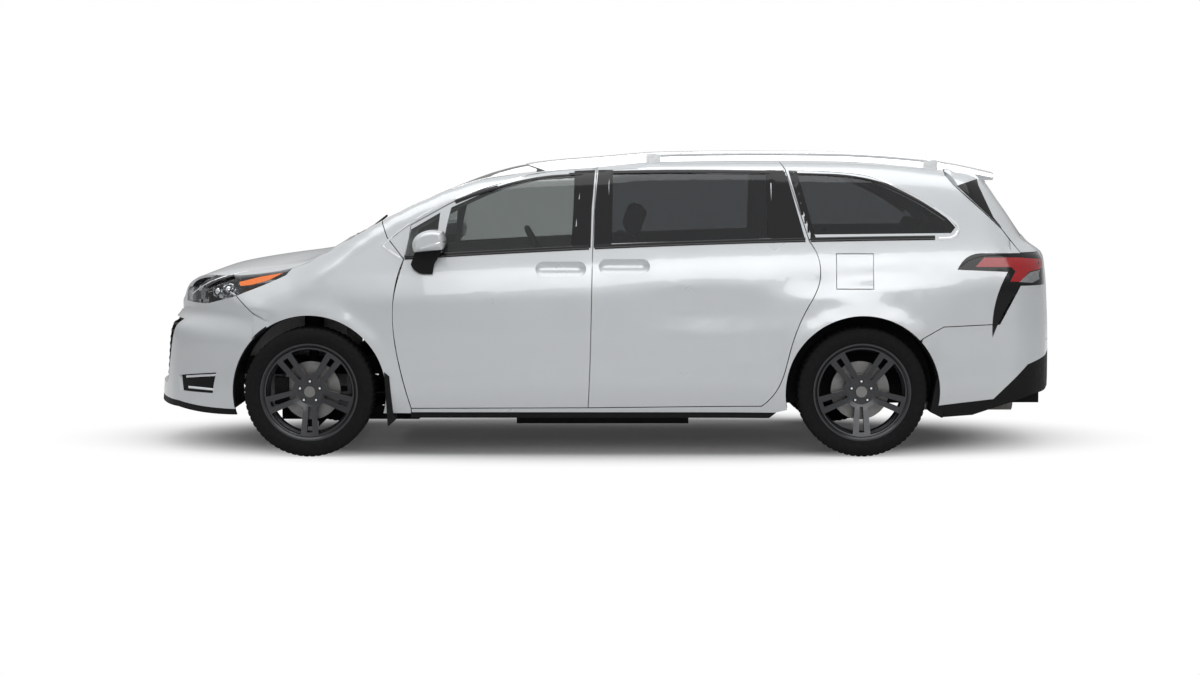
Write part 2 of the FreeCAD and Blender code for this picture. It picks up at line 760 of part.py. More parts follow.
# Where each slab of the skin starts and ends: pixels along the car and angles around it, or angles
# about an end of the car and angles up it.
FRONT_DOOR_span = (380, 605, -38, 60)
FRONT_GLASS_span = (380, 605, 5, 60)
SLIDING_DOOR_span = (580, 832, -38, 70)
SLIDING_GLASS_span = (580, 832, 5, 62)
SIDE_span = (362, 1018, -38, 80)
SIDE_CORNER_span = (-70, -25, -8, 48)
QUARTER_GLASS_span = (780, 965, 5, 60)
FUEL_LID_span = (820, 890, 0, 40)
HOOD_span = (175, 372, 15, 165)
SCREEN_span = (345, 540, 25, 155)
COWL_span = (340, 400, 20, 160)
ROOF_span = (500, 960, 40, 140)
FENDER_span = (225, 415, -38, 48)
BUMPER_span = (108, 252, -22, 27)
GRILLE_span = (118, 242, -20, 23)
HEADLAMP_span = (205, 262, 12, 32)
REAR_BUMPER_span = (-72, 72, -30, 14)
TAIL_LAMP_span = (-66, -26, -8, 26)
TAILGATE_span = (-56, 56, -11, 46)
REAR_GLASS_span = (-50, 50, 15, 46)
DOOR_FRONT_pixel = 393
WAIST_angle = 12
WAIST_BLEND_angle = 10

inward = -gap / 2
outward = gap / 2
seated = outward - size("seat_clearance")
glass_back = size("glass_inset") + size("glass_thickness")


def cut_by(shape, *tools):
    """A panel kept inside each tool in turn."""
    for tool in tools:
        shape = shape.common(tool)
    return shape


def without(shape, *tools):
    for tool in tools:
        shape = shape.cut(tool)
    return shape


def wall_depth(x, angle):
    """Thickness of a door: thick below the belt, a slim frame round the windows."""
    low = smooth_step((math.degrees(angle) - WAIST_angle) / WAIST_BLEND_angle)
    return size("door_thickness") + (size("frame_thickness") - size("door_thickness")) * low


def frame_depth(x, angle):
    return wall_depth(x, angle) + gap


def pillar_depth(x, angle):
    return frame_depth(x, angle) + size("panel_thickness")


def skin_at(x, z):
    """The left skin's point at a place in the side view."""
    return hit((x, 0.0, z), (0.0, -1.0, 0.0), 0.0, side_reach)


def with_handle(door, start_pixel, end_pixel, level_pixel):
    """A door with a dished recess and a grip that bows out over it."""
    radius, depth = size("recess_radius"), size("recess_depth")
    x0, z = seen([(start_pixel, level_pixel)], SKIN_depth_share)[0]
    x1 = place_x(end_pixel, SKIN_depth_share)
    inset = math.sqrt(radius * radius - (radius - depth) * (radius - depth))
    ends = [skin_at(x0 + inset, z), skin_at(x1 - inset, z)]
    away = Vector(0, -(radius - depth), 0)
    run = ends[1] - ends[0]
    dish = Part.makeCylinder(radius, run.Length, ends[0] + away, run)
    dish = dish.fuse([Part.makeSphere(radius, end + away) for end in ends])
    grip = []
    for share, out_share in HANDLE_shares:
        at = skin_at(x0 + (x1 - x0) * share, z)
        grip.append(at + Vector(0, -size("handle_reach") * out_share, 0))
    return solid_of(door.cut(dish).fuse(pipe(grip, size("handle_radius"))))


def inside_wall(x, angle):
    return wall_depth(x, angle) - gap


def hinge_depth(x, angle):
    return frame_depth(x, angle) - size("seat_clearance")


def front_doors():
    """Two hinged doors, each with its window cut out, and the glass in it."""
    slab = around(FRONT_DOOR_span, BELT_depth_share, 0.0, wall_depth)
    skin = cut_by(slab, seen_prism(FRONT_DOOR_pixels, SKIN_depth_share, inward))
    skin = without(skin, plan_prism(ROOF_shares, size("ditch_gap") / 2), plan_prism(SCREEN_shares, outward))
    window = seen_prism(FRONT_WINDOW_pixels, GLASS_depth_share)
    corner = seen_prism(CORNER_WINDOW_pixels, GLASS_depth_share)
    door = solid_of(without(skin, window, corner))
    leaf_slab = around(SIDE_span, BELT_depth_share, inside_wall, hinge_depth)
    front_x = place_x(DOOR_FRONT_pixel, SKIN_depth_share)
    for z in (size("door_hinge_height"), size("door_hinge_height") + size("door_hinge_rise")):
        leaf = box_between(front_x + gap, front_x + size("door_seal_width") - gap, -half_width, 0,
                           z - overrun, z + overrun)
        door = door.fuse(leaf_slab.common(leaf))
    door = with_handle(door, *FRONT_HANDLE_pixels)
    glass_slab = around(FRONT_GLASS_span, BELT_depth_share, size("glass_inset"), glass_back)
    glass = cut_by(glass_slab, window)
    pane = cut_by(glass_slab, corner)
    panes = Part.makeCompound([glass, pane])
    feature("front_door_left", door)
    feature("front_door_right", mirrored(door))
    feature("front_window_left", panes)
    feature("front_window_right", mirrored(panes))


def sliding_doors():
    slab = around(SLIDING_DOOR_span, BELT_depth_share, 0.0, wall_depth)
    skin = cut_by(slab, seen_prism(SLIDING_DOOR_pixels, SKIN_depth_share, inward))
    skin = without(skin, plan_prism(ROOF_shares, size("ditch_gap") / 2))
    window = seen_prism(SLIDING_WINDOW_pixels, GLASS_depth_share)
    door = with_handle(solid_of(without(skin, window)), *SLIDING_HANDLE_pixels)
    glass_slab = around(SLIDING_GLASS_span, BELT_depth_share, size("glass_inset"), glass_back)
    feature("sliding_doors", both(door))
    feature("sliding_windows", both(cut_by(glass_slab, window)))


def body_sides():
    """Pillars, sills, quarter panels and the band over the doors, with the door openings in them."""
    split_x = place_x(SIDE_span[1], BELT_depth_share)
    region = seen_prism(SIDE_pixels, SKIN_depth_share, inward)
    below_roof = plan_prism(SIDE_TOP_shares, inward)
    slab = around(SIDE_span, BELT_depth_share, 0.0, pillar_depth)
    skin = cut_by(slab, region, below_roof)
    corner = dome(tail_centre, SIDE_CORNER_span, 0.0, size("frame_thickness"))
    behind = box_between(split_x - overrun, half_length, outside_y, 0, 0, size("roof_height"))
    corner = cut_by(corner, behind, region, below_roof)
    seat = around(SIDE_span, BELT_depth_share, -gap * 2, frame_depth)
    openings = []
    for door in (FRONT_DOOR_pixels, SLIDING_DOOR_pixels):
        openings.append(seat.common(seen_prism(door, SKIN_depth_share, outward)))
        openings.append(seen_prism(door, SKIN_depth_share, -size("door_seal_width")))
    quarter = seen_prism(QUARTER_WINDOW_pixels, GLASS_depth_share)
    lamp = seen_prism(TAIL_LAMP_pixels, SKIN_depth_share, outward)
    skin = without(skin.fuse(corner), quarter, wheel_space(rear_axle_x), lamp, *openings)
    pocket_slab = around(FUEL_LID_span, BELT_depth_share, -gap, size("panel_thickness"))
    pocket = cut_by(pocket_slab, seen_prism(FUEL_LID_pixels, SKIN_depth_share, outward))
    left = solid_of(skin.cut(pocket))
    feature("body_sides", Part.makeCompound([left, mirrored(solid_of(skin))]))
    sill = slab.common(seen_prism(SILL_TRIM_pixels, SKIN_depth_share, seated))
    trims.extend([solid_of(sill), mirrored(solid_of(sill))])
    lid_slab = around(FUEL_LID_span, BELT_depth_share, 0.0, size("panel_thickness") / 2)
    lid = cut_by(lid_slab, seen_prism(FUEL_LID_pixels, SKIN_depth_share, inward))
    edge_x, top_z = seen([FUEL_LID_pixels[0]], SKIN_depth_share)[0]
    middle_z = (top_z + seen(FUEL_LID_pixels[1], SKIN_depth_share)[0][1]) / 2
    knuckle_x = edge_x - outward + size("seat_clearance")
    lid_y = skin_at(edge_x, middle_z).y + size("lid_knuckle_inset")
    knuckle = box_between(knuckle_x, knuckle_x + size("lid_knuckle_length"), lid_y, lid_y + gap,
                          middle_z - overrun / 2, middle_z + overrun / 2)
    feature("fuel_lid", lid.fuse(knuckle))
    glass_slab = around(QUARTER_GLASS_span, BELT_depth_share, size("glass_inset"), glass_back)
    feature("quarter_windows", both(cut_by(glass_slab, quarter)))


def top_panels():
    """Hood, cowl, windscreen and roof."""
    hood_slab = around(HOOD_span, CENTRE_depth_share, 0.0, size("hood_thickness"))
    above = box_between(-half_length, 0, -half_width, half_width, size("hood_base"), size("roof_height"))
    feature("hood", solid_of(cut_by(hood_slab, plan_prism(HOOD_shares, inward), above)))
    screen_slab = around(SCREEN_span, CENTRE_depth_share, size("glass_inset"), glass_back)
    feature("windscreen", solid_of(screen_slab.common(plan_prism(SCREEN_shares, seated))))
    cowl_slab = around(COWL_span, CENTRE_depth_share, glass_back + gap / 2, size("panel_thickness"))
    feature("cowl", solid_of(cut_by(cowl_slab, plan_prism(COWL_shares, inward))))
    roof_slab = around(ROOF_span, CENTRE_depth_share, 0.0, size("roof_thickness"))
    feature("roof_panel", solid_of(cut_by(roof_slab, plan_prism(ROOF_shares, inward))))


def fenders():
    slab = around(FENDER_span, BELT_depth_share, 0.0, size("panel_thickness"))
    panel = cut_by(slab, seen_prism(FENDER_pixels, SKIN_depth_share, inward))
    panel = without(panel, plan_prism(HOOD_shares, outward), plan_prism(COWL_shares, outward),
                    plan_prism(SCREEN_shares, outward), seen_prism(LAMP_pixels, SKIN_depth_share, outward),
                    wheel_space(front_axle_x))
    feature("fenders", both(solid_of(panel)))


def front_prism(outline, growth=0.0, x0=None, x1=0.0):
    """The space behind an outline seen from an end, in shares of the half width and the roof height."""
    def real(point):
        return (point[0] * half_width, point[1] * size("roof_height"))
    runs = [[real(p) for p in run] for run in outline[1:]]
    x0 = -half_length - overrun if x0 is None else x0
    return prism(real(outline[0]), runs, lambda y, z: Vector(x0, y, z), Vector(x1 - x0, 0, 0), growth)


# Openings seen from the ends, in shares of the half width and of the roof height.
GRILLE_shares = [(-0.56, 0.437), [(-0.46, 0.215)], [(0.46, 0.215)], [(0.56, 0.437)]]
DUCT_shares = [(-0.87, 0.272), [(-0.66, 0.252)], [(-0.68, 0.203)], [(-0.86, 0.203)]]
WIPER_BLADE_shares = (
    [(-0.234, -0.70), (-0.243, -0.55), (-0.2525, -0.40), (-0.258, -0.25), (-0.2615, -0.10)],
    [(-0.2615, 0.02), (-0.2595, 0.16), (-0.2560, 0.30), (-0.249, 0.45), (-0.2400, 0.60)],
)
WIPER_ARM_shares = (
    [(-0.2700, -0.42), (-0.260, -0.41), (-0.2525, -0.40)],
    [(-0.2755, 0.22), (-0.265, 0.26), (-0.2560, 0.30)],
)
TAILGATE_shares = [(-0.71, 0.372), [(-0.70, 0.70)], [(0.70, 0.70)], [(0.71, 0.372)]]
TAILGATE_pixels = [
    (949.6, 174.8), [(956.8, 184.3)], [(1004, 228.4)], [(1022.9, 252.5)], [(1080, 252.5)], [(1080, 140)],
    [(949.6, 140)],
]
REAR_WINDOW_shares = [(-0.66, 0.715), [(-0.54, 0.895)], [(0.54, 0.895)], [(0.66, 0.715)]]


def nose():
    """Front bumper with its openings, grilles behind them, and the headlamps."""
    slab = dome(nose_centre, BUMPER_span, 0.0, size("bumper_thickness"))
    left = seen_prism(BUMPER_pixels, SKIN_depth_share, inward)
    shell = cut_by(slab, left.fuse(mirrored(left)))
    duct = front_prism(DUCT_shares)
    lamp_space = seen_prism(LAMP_pixels, SKIN_depth_share, outward)
    hood_space = plan_prism(HOOD_shares, outward).cut(
        box_between(-half_length * 2, half_length, -half_width, half_width, 0, size("axis_height")))
    shell = without(shell, front_prism(GRILLE_shares), duct, mirrored(duct), hood_space, lamp_space,
                    mirrored(lamp_space), wheel_space(front_axle_x))
    feature("front_bumper", solid_of(shell))
    left = seen_prism(FRONT_LIP_pixels, SKIN_depth_share, seated)
    trims.append(solid_of(cut_by(slab, left.fuse(mirrored(left))).cut(wheel_space(front_axle_x))))
    depth = size("bumper_thickness")
    mesh = dome(nose_centre, GRILLE_span, depth - size("grille_depth") / 2, depth + size("grille_depth") / 2)
    frame = front_prism(GRILLE_shares).cut(front_prism(GRILLE_shares, -size("grille_frame")))
    low_z, high_z = GRILLE_shares[1][0][1] * size("roof_height"), GRILLE_shares[0][1] * size("roof_height")
    boxes = []
    for i in range(1, SLAT_COUNT):
        z = low_z + (high_z - low_z) * i / SLAT_COUNT
        boxes.append(box_between(-half_length - overrun, 0, -half_width, half_width, z - size("slat_height") / 2,
                                 z + size("slat_height") / 2))
    for share in RIB_shares:
        y = share * half_width
        boxes.append(box_between(-half_length - overrun, 0, y - size("grille_rib") / 2, y + size("grille_rib") / 2,
                                 low_z - overrun, high_z + overrun))
    lattice = boxes[0].fuse(boxes[1:]).common(front_prism(GRILLE_shares, -size("grille_frame") / 2))
    parts = [mesh.common(frame.fuse(lattice)).cut(hood_space), mesh.common(duct), mesh.common(mirrored(duct))]
    feature("grilles", Part.makeCompound([solid for part in parts for solid in part.Solids]))
    lamp_slab = dome(nose_centre, HEADLAMP_span, 0.0, size("lamp_depth"))
    lamp = lamp_slab.common(seen_prism(LAMP_pixels, SKIN_depth_share, seated))
    lamp = lamp.cut(plan_prism(HOOD_shares, outward))
    feature("headlamps", both(solid_of(lamp)))


def tail():
    """Rear bumper, tail lamps, and the tailgate with its window and spoiler."""
    slab = dome(tail_centre, REAR_BUMPER_span, 0.0, size("bumper_thickness"))
    left = seen_prism(REAR_BUMPER_pixels, SKIN_depth_share, inward)
    gate_space = front_prism(TAILGATE_shares, outward, 0, half_length + overrun)
    lamp_space = seen_prism(TAIL_LAMP_pixels, SKIN_depth_share, outward)
    shell = without(slab.common(left.fuse(mirrored(left))), wheel_space(rear_axle_x), gate_space, lamp_space,
                    mirrored(lamp_space))
    feature("rear_bumper", solid_of(shell))
    left = seen_prism(REAR_VALANCE_pixels, SKIN_depth_share, seated)
    trims.append(solid_of(slab.common(left.fuse(mirrored(left))).cut(wheel_space(rear_axle_x))))
    lamp_slab = dome(tail_centre, TAIL_LAMP_span, 0.0, size("lamp_depth"))
    lamp = lamp_slab.common(seen_prism(TAIL_LAMP_pixels, SKIN_depth_share, seated)).cut(gate_space)
    feature("tail_lamps", both(solid_of(lamp)))
    upper = seen_prism(TAILGATE_pixels, SKIN_depth_share, inward)
    upper = upper.fuse(mirrored(upper))
    panel = dome(tail_centre, TAILGATE_span, 0.0, size("tailgate_thickness"))
    panel = panel.common(upper.fuse(front_prism(TAILGATE_shares, inward, 0, half_length + overrun)))
    window = front_prism(REAR_WINDOW_shares, 0, 0, half_length + overrun)
    glass = dome(tail_centre, REAR_GLASS_span, size("glass_inset"), glass_back)
    feature("rear_window", solid_of(glass.common(window)))
    panel = without(panel, window, plan_prism(ROOF_shares, outward))
    hinge_x = ROOF_END_share * size("overall_length")
    hinge_top = top_line(hinge_x) - gap * 2
    hinges = []
    for y in (-size("hinge_spread") / 2, size("hinge_spread") / 2):
        z = hinge_top - roof_crown * y * y
        hinges.append(box_between(hinge_x - seated, hinge_x + overrun, y - overrun / 2, y + overrun / 2,
                                  z - size("hinge_thickness"), z))
    feature("tailgate", solid_of(panel.fuse([spoiler()] + hinges)))


def spoiler():
    start_x = ROOF_END_share * size("overall_length") + outward
    grids = [[], []]
    for x in spread(start_x, start_x + size("spoiler_length")):
        along = (x - start_x) / size("spoiler_length")
        rows = [[], []]
        root, tip = SPOILER_SPREAD_shares
        edge = half_width * (root + (tip - root) * along)
        root, tip = SPOILER_THICKNESS_shares
        thickness = size("tailgate_thickness") * (root + (tip - root) * along)
        for share in spread(-1, 1, half_width):
            y = share * edge
            at = x - tail_bow * y * y * along
            top = top_line(at) - roof_crown * y * y
            rows[0].append(Vector(at, y, top))
            rows[1].append(Vector(at, y, top - thickness))
        grids[0].append(rows[0])
        grids[1].append(rows[1])
    return closed_slab(grids[0], grids[1])


def expression(text):
    """A formula in words of the sheet, such as rim_width / 2."""
    return " ".join("Sizes." + word if word in SIZES else word for word in text.split())


def value(text):
    if not isinstance(text, str):
        return text
    words = [str(size(word)) if word in SIZES else word for word in text.split()]
    return FreeCAD.Units.Quantity(" ".join(words)).Value


def bind(made, **formulas):
    for prop, text in formulas.items():
        if isinstance(text, str):
            made.setExpression(prop, expression(text))
        else:
            setattr(made, prop, text)
    return made


def box(name, length, width, height, centre, turn=None):
    """A box on the middle of its base."""
    made = bind(doc.addObject("Part::Box", name), Length=length, Width=width, Height=height)
    turn = turn or Rotation()
    half = Vector(-value(length) / 2, -value(width) / 2, 0)
    made.Placement = Placement(Vector(*centre) + turn.multVec(half), turn)
    return made


def rod(name, radius, height, start, axis):
    made = bind(doc.addObject("Part::Cylinder", name), Radius=radius, Height=height)
    made.Placement = Placement(Vector(*start), Rotation(Vector(0, 0, 1), Vector(*axis)))
    return made


def fused(label, *pieces):
    made = doc.addObject("Part::MultiFuse", label)
    made.Shapes = list(pieces)
    made.Label = label
    nodes[label] = made
    return made


def grouped(label, *pieces):
    made = doc.addObject("Part::Compound", label)
    made.Links = list(pieces)
    made.Label = label
    nodes[label] = made
    return made


def cut(name, base, tool):
    made = doc.addObject("Part::Cut", name)
    made.Base = base
    made.Tool = tool
    return made


def turned(name, points):
    """A ring about the wheel's axis, from its outline as distances from the axis and along it."""
    sketch = doc.addObject("Sketcher::SketchObject", name + "_sketch")
    for a, b in zip(points, points[1:] + points[:1]):
        sketch.addGeometry(Part.LineSegment(Vector(a[0], a[1], 0), Vector(b[0], b[1], 0)))
    ring = doc.addObject("Part::Revolution", name)
    ring.Source = sketch
    ring.Axis = Vector(0, 1, 0)
    ring.Base = Vector(0, 0, 0)
    ring.Angle = FULL_TURN
    ring.Solid = True
    return ring


def sector(kind, angle, y0, y1):
    """A tapered window between two spokes, or the slot in a spoke."""
    inner_radius, outer_radius = size(kind + "_inner_radius"), size(kind + "_outer_radius")
    inner_width, outer_width = size(kind + "_inner_width"), size(kind + "_outer_width")

    def place(radius, across):
        turn = math.radians(angle) + math.asin(across / radius)
        return Vector(radius * math.cos(turn), y0, radius * math.sin(turn))
    inner = [place(inner_radius, across) for across in (-inner_width / 2, 0, inner_width / 2)]
    outer = [place(outer_radius, across) for across in (-outer_width / 2, 0, outer_width / 2)]
    edges = [Part.Arc(*inner).toShape(), Part.LineSegment(inner[2], outer[2]).toShape(),
             Part.Arc(*reversed(outer)).toShape(), Part.LineSegment(outer[0], inner[0]).toShape()]
    return Part.Face(Part.Wire(edges)).extrude(Vector(0, y1 - y0, 0))


WHEELS = {
    "front_left": (front_axle_x, -hub_y), "front_right": (front_axle_x, hub_y),
    "rear_left": (rear_axle_x, -hub_y), "rear_right": (rear_axle_x, hub_y),
}
FULL_TURN = 360
HALF_TURN = 180
QUARTER_TURN = 90
SPOKE_COUNT = 5
ROOF_END_share = 0.38
SPOILER_SPREAD_shares = (0.635, 0.585)
SPOILER_THICKNESS_shares = (1.6, 0.4)
RIM_CONE_share = 1.5
RIM_DISH_share = 0.8
RIM_DROP_share = 3
TREAD_EDGE_share = 1.3
SHOULDER_share = 3
SEAT_FOOT_share = 0.7
COLUMN_RISE_share = 0.75
SPOKE_SINK_share = 0.6
LINER_share = 0.93
SLAT_COUNT = 9
RIB_shares = (-0.32, -0.11, 0.11, 0.32)
FLAP_share = 0.975


def wheels():
    """Tyres, five-spoke rims, and brake discs on their hubs; outside is -Y on the master pieces."""
    half = size("rim_width") / 2
    flange, bead = size("flange_radius"), size("bead_radius")
    wall, lip = size("rim_wall"), size("flange_thickness")
    drop, well = bead - size("drop_depth"), half / RIM_DROP_share
    barrel = turned("rim_barrel", [
        (flange, -half), (flange, -half + lip), (bead, -half + lip * 2), (bead, -half / 2),
        (drop, -well), (drop, well), (bead, half / 2), (bead, half - lip * 2), (flange, half - lip),
        (flange, half), (flange - lip, half), (bead - wall, half - lip * 2), (bead - wall, half / 2),
        (drop - wall, well), (drop - wall, -well), (bead - wall, -half / 2),
        (bead - wall, -half + lip * 2), (flange - lip, -half),
    ])
    face, dish = size("face_depth"), size("dish_depth")
    outer, hub = bead - wall / 2, size("hub_face_radius")
    bore = size("hub_bore_radius")
    disc = turned("rim_face", [
        (bore, -half + dish), (hub, -half + dish), (hub * RIM_CONE_share, -half + dish * RIM_DISH_share),
        (outer, -half + lip), (outer, -half + lip + face), (hub * RIM_CONE_share, -half + dish + face),
        (bore, -half + dish + face),
    ])
    cuts = []
    for i in range(SPOKE_COUNT):
        angle = QUARTER_TURN + i * FULL_TURN / SPOKE_COUNT
        cuts.append(sector("window", angle, -half * 2, half * 2))
        cuts.append(sector("slot", angle + HALF_TURN / SPOKE_COUNT, -half * 2, half * 2))
        at = size("lug_circle_diameter") / 2
        lug = Vector(at * math.cos(math.radians(angle)), -half * 2, at * math.sin(math.radians(angle)))
        cuts.append(Part.makeCylinder(size("lug_hole_radius"), size("rim_width") * 2, lug, Vector(0, 1, 0)))
    tools = doc.addObject("Part::Feature", "rim_windows")
    tools.Shape = Part.makeCompound(cuts)
    spokes = cut("rim_spokes", disc, tools)
    rim = doc.addObject("Part::MultiFuse", "rim")
    rim.Shapes = [barrel, spokes]
    tyre_half, tyre, skin = size("tyre_width") / 2, size("tyre_radius"), size("tyre_wall")
    crown, fit = size("tread_round"), size("seat_clearance")
    edge, shoulder = crown * TREAD_EDGE_share, crown / SHOULDER_share
    tyre_ring = turned("tyre", [
        (bead + fit, -half + lip * 2), (flange + fit, -half + lip), (flange + fit, -half),
        (flange + crown, -tyre_half + lip / 2), (flange + crown * 2, -tyre_half),
        (tyre - crown, -tyre_half + lip / 2), (tyre - shoulder, -tyre_half + crown / 2),
        (tyre, -tyre_half + edge), (tyre, tyre_half - edge), (tyre - shoulder, tyre_half - crown / 2),
        (tyre - crown, tyre_half - lip / 2), (flange + crown * 2, tyre_half), (flange + crown, tyre_half - lip / 2),
        (flange + fit, half), (flange + fit, half - lip), (bead + fit, half - lip * 2),
        (bead + fit, half - lip * 2 - skin), (flange + crown, tyre_half - skin), (tyre - skin, tyre_half - crown),
        (tyre - skin, -tyre_half + crown), (flange + crown, -tyre_half + skin), (bead + fit, -half + lip * 2 + skin),
    ])
    seat = -half + dish + face
    hat, pilot = size("hat_radius"), bore - size("seat_clearance")
    disc_start, disc_end = seat + size("hat_height"), seat + size("hat_height") + size("disc_thickness")
    brake = turned("brake_disc", [
        (0, seat - dish), (pilot, seat - dish), (pilot, seat), (hat, seat), (hat, disc_start),
        (size("disc_radius"), disc_start), (size("disc_radius"), disc_end), (hat - lip, disc_end),
        (hat - lip, seat + lip), (size("hub_spindle_radius"), seat + lip),
        (size("hub_spindle_radius"), disc_end + lip), (0, disc_end + lip),
    ])
    for corner, (x, y) in WHEELS.items():
        turn = Rotation(Vector(0, 0, 1), 0 if y < 0 else HALF_TURN)
        for kind, master in (("tyre", tyre_ring), ("rim", rim), ("hub_disc", brake)):
            placed = grouped("%s_%s" % (kind, corner), master)
            placed.Placement = Placement(Vector(x, y, axle_z), turn)


def kingpin(side):
    """Where the steering axis meets the wheel's axle height, and its direction, on one side."""
    tilt = math.radians(size("kingpin_tilt"))
    y = side * (hub_y - size("kingpin_offset"))
    return Vector(front_axle_x, y, axle_z), Vector(0, -side * math.sin(tilt), math.cos(tilt))


hub_seat = size("rim_width") / 2 - size("dish_depth") - size("face_depth")
disc_middle = size("hat_height") + size("disc_thickness") / 2 - hub_seat
spindle_end = disc_middle + size("disc_thickness") / 2 + size("flange_thickness")


subframe_z = axle_z - size("ball_drop") - size("arm_thickness") - size("ball_gap")


def front_suspension():
    """Knuckles that steer about their kingpins, and the frame, arms, struts, rack and shafts inboard."""
    fixed = []
    for side, name in ((-1, "left"), (1, "right")):
        foot, up = kingpin(side)
        spin = Vector(0, side, 0)
        inner_y = hub_y - spindle_end - size("seat_clearance") - size("upright_length")
        inner = Vector(front_axle_x, side * inner_y, axle_z)
        upright = rod("upright_" + name, "upright_radius", "upright_length", inner, spin)
        low = foot - up * size("ball_drop")
        post = rod("post_" + name, "strut_radius", "ball_drop + strut_length", low, up)
        steering_arm = box("steering_arm_" + name, "steering_arm_length", "arm_thickness", "arm_thickness",
                           (front_axle_x + size("steering_arm_length") / 2, foot.y,
                            axle_z - size("arm_thickness") / 2))
        caliper = box("caliper_block_" + name, "caliper_depth", "caliper_width", "caliper_length",
                      (front_axle_x - size("disc_radius"), side * (hub_y - disc_middle),
                       axle_z - size("caliper_length") / 2))
        bracket_y = side * (hub_y - disc_middle - size("caliper_width") / 2)
        bracket = box("caliper_bracket_" + name, "disc_radius", "arm_thickness", "arm_width",
                      (front_axle_x - size("disc_radius") / 2, bracket_y, axle_z - size("arm_width") / 2))
        slot_y = hub_y - disc_middle - size("disc_thickness") / 2 - size("caliper_gap") / 2
        slot = rod("caliper_slot_" + name, "disc_radius + caliper_gap", "disc_thickness + caliper_gap",
                   (front_axle_x, side * slot_y, axle_z), spin)
        block = cut("caliper_" + name, caliper, slot)
        fused("front_knuckle_" + name, upright, post, steering_arm, bracket, block)
        arm_y = side * size("subframe_width") / 2
        end_y = low.y + side * size("strut_radius")
        arm = box("front_arm_" + name, "arm_width", abs(end_y - arm_y), "arm_thickness",
                  (front_axle_x, (arm_y + end_y) / 2, subframe_z))
        spring = rod("front_spring_" + name, "spring_radius", "spring_height",
                     foot + up * (size("strut_length") + size("seat_clearance")), up)
        shaft = rod("drive_shaft_" + name, "shaft_radius", "shaft_length",
                    (front_axle_x, side * (size("engine_width") / 2 + size("seat_clearance")), axle_z), spin)
        fixed += [arm, spring, shaft]
    front_end = front_axle_x - size("subframe_lead")
    beams = []
    for side, name in ((-1, "left"), (1, "right")):
        beams.append(box("frame_side_" + name, "subframe_length", "subframe_beam", "subframe_height",
                         (front_end + size("subframe_length") / 2,
                          side * (size("subframe_width") - size("subframe_beam")) / 2, subframe_z)))
    rack_x = front_axle_x + size("steering_arm_length")
    for name, x in (("front", front_end + size("subframe_beam") / 2), ("rack", rack_x)):
        beams.append(box("frame_cross_" + name, "subframe_beam", size("subframe_width") - size("subframe_beam"),
                         "subframe_height", (x, 0, subframe_z)))
    frame = doc.addObject("Part::MultiFuse", "front_frame")
    frame.Shapes = beams
    rack = rod("steering_rack", "rack_radius", "subframe_width",
               (rack_x, -size("subframe_width") / 2,
                subframe_z + size("subframe_height") + size("rack_radius") + size("seat_clearance")), (0, 1, 0))
    grouped("front_suspension", frame, rack, *fixed)


def rear_suspension():
    """A cross member with trailing arms and springs, and the carriers that hold the rear hubs."""
    deck_z = size("rear_floor_height") - size("floor_thickness")
    beam = rod("rear_beam", "beam_radius", "rear_beam_length",
               (rear_axle_x - size("rear_arm_length") / 2, -size("rear_beam_length") / 2, axle_z), (0, 1, 0))
    pieces = [beam]
    for side, name in ((-1, "left"), (1, "right")):
        y = side * (size("rear_beam_length") / 2 - size("arm_width") / 2)
        pieces.append(box("trailing_arm_" + name, "rear_arm_length", "arm_width", "arm_width",
                          (rear_axle_x - size("rear_arm_length") / 2, y, axle_z - size("arm_width") / 2)))
        carrier = hub_y - spindle_end - size("seat_clearance") - abs(y)
        pieces.append(rod("rear_carrier_" + name, "upright_radius", carrier, (rear_axle_x, y, axle_z),
                          (0, side, 0)))
        pieces.append(rod("rear_spring_" + name, "rear_spring_radius", deck_z - axle_z,
                          (rear_axle_x - size("rear_spring_radius"), y - side * size("arm_width") / 2, axle_z),
                          (0, 0, 1)))
    fused("rear_suspension", *pieces)


bulkhead_x = front_axle_x + size("arch_radius")


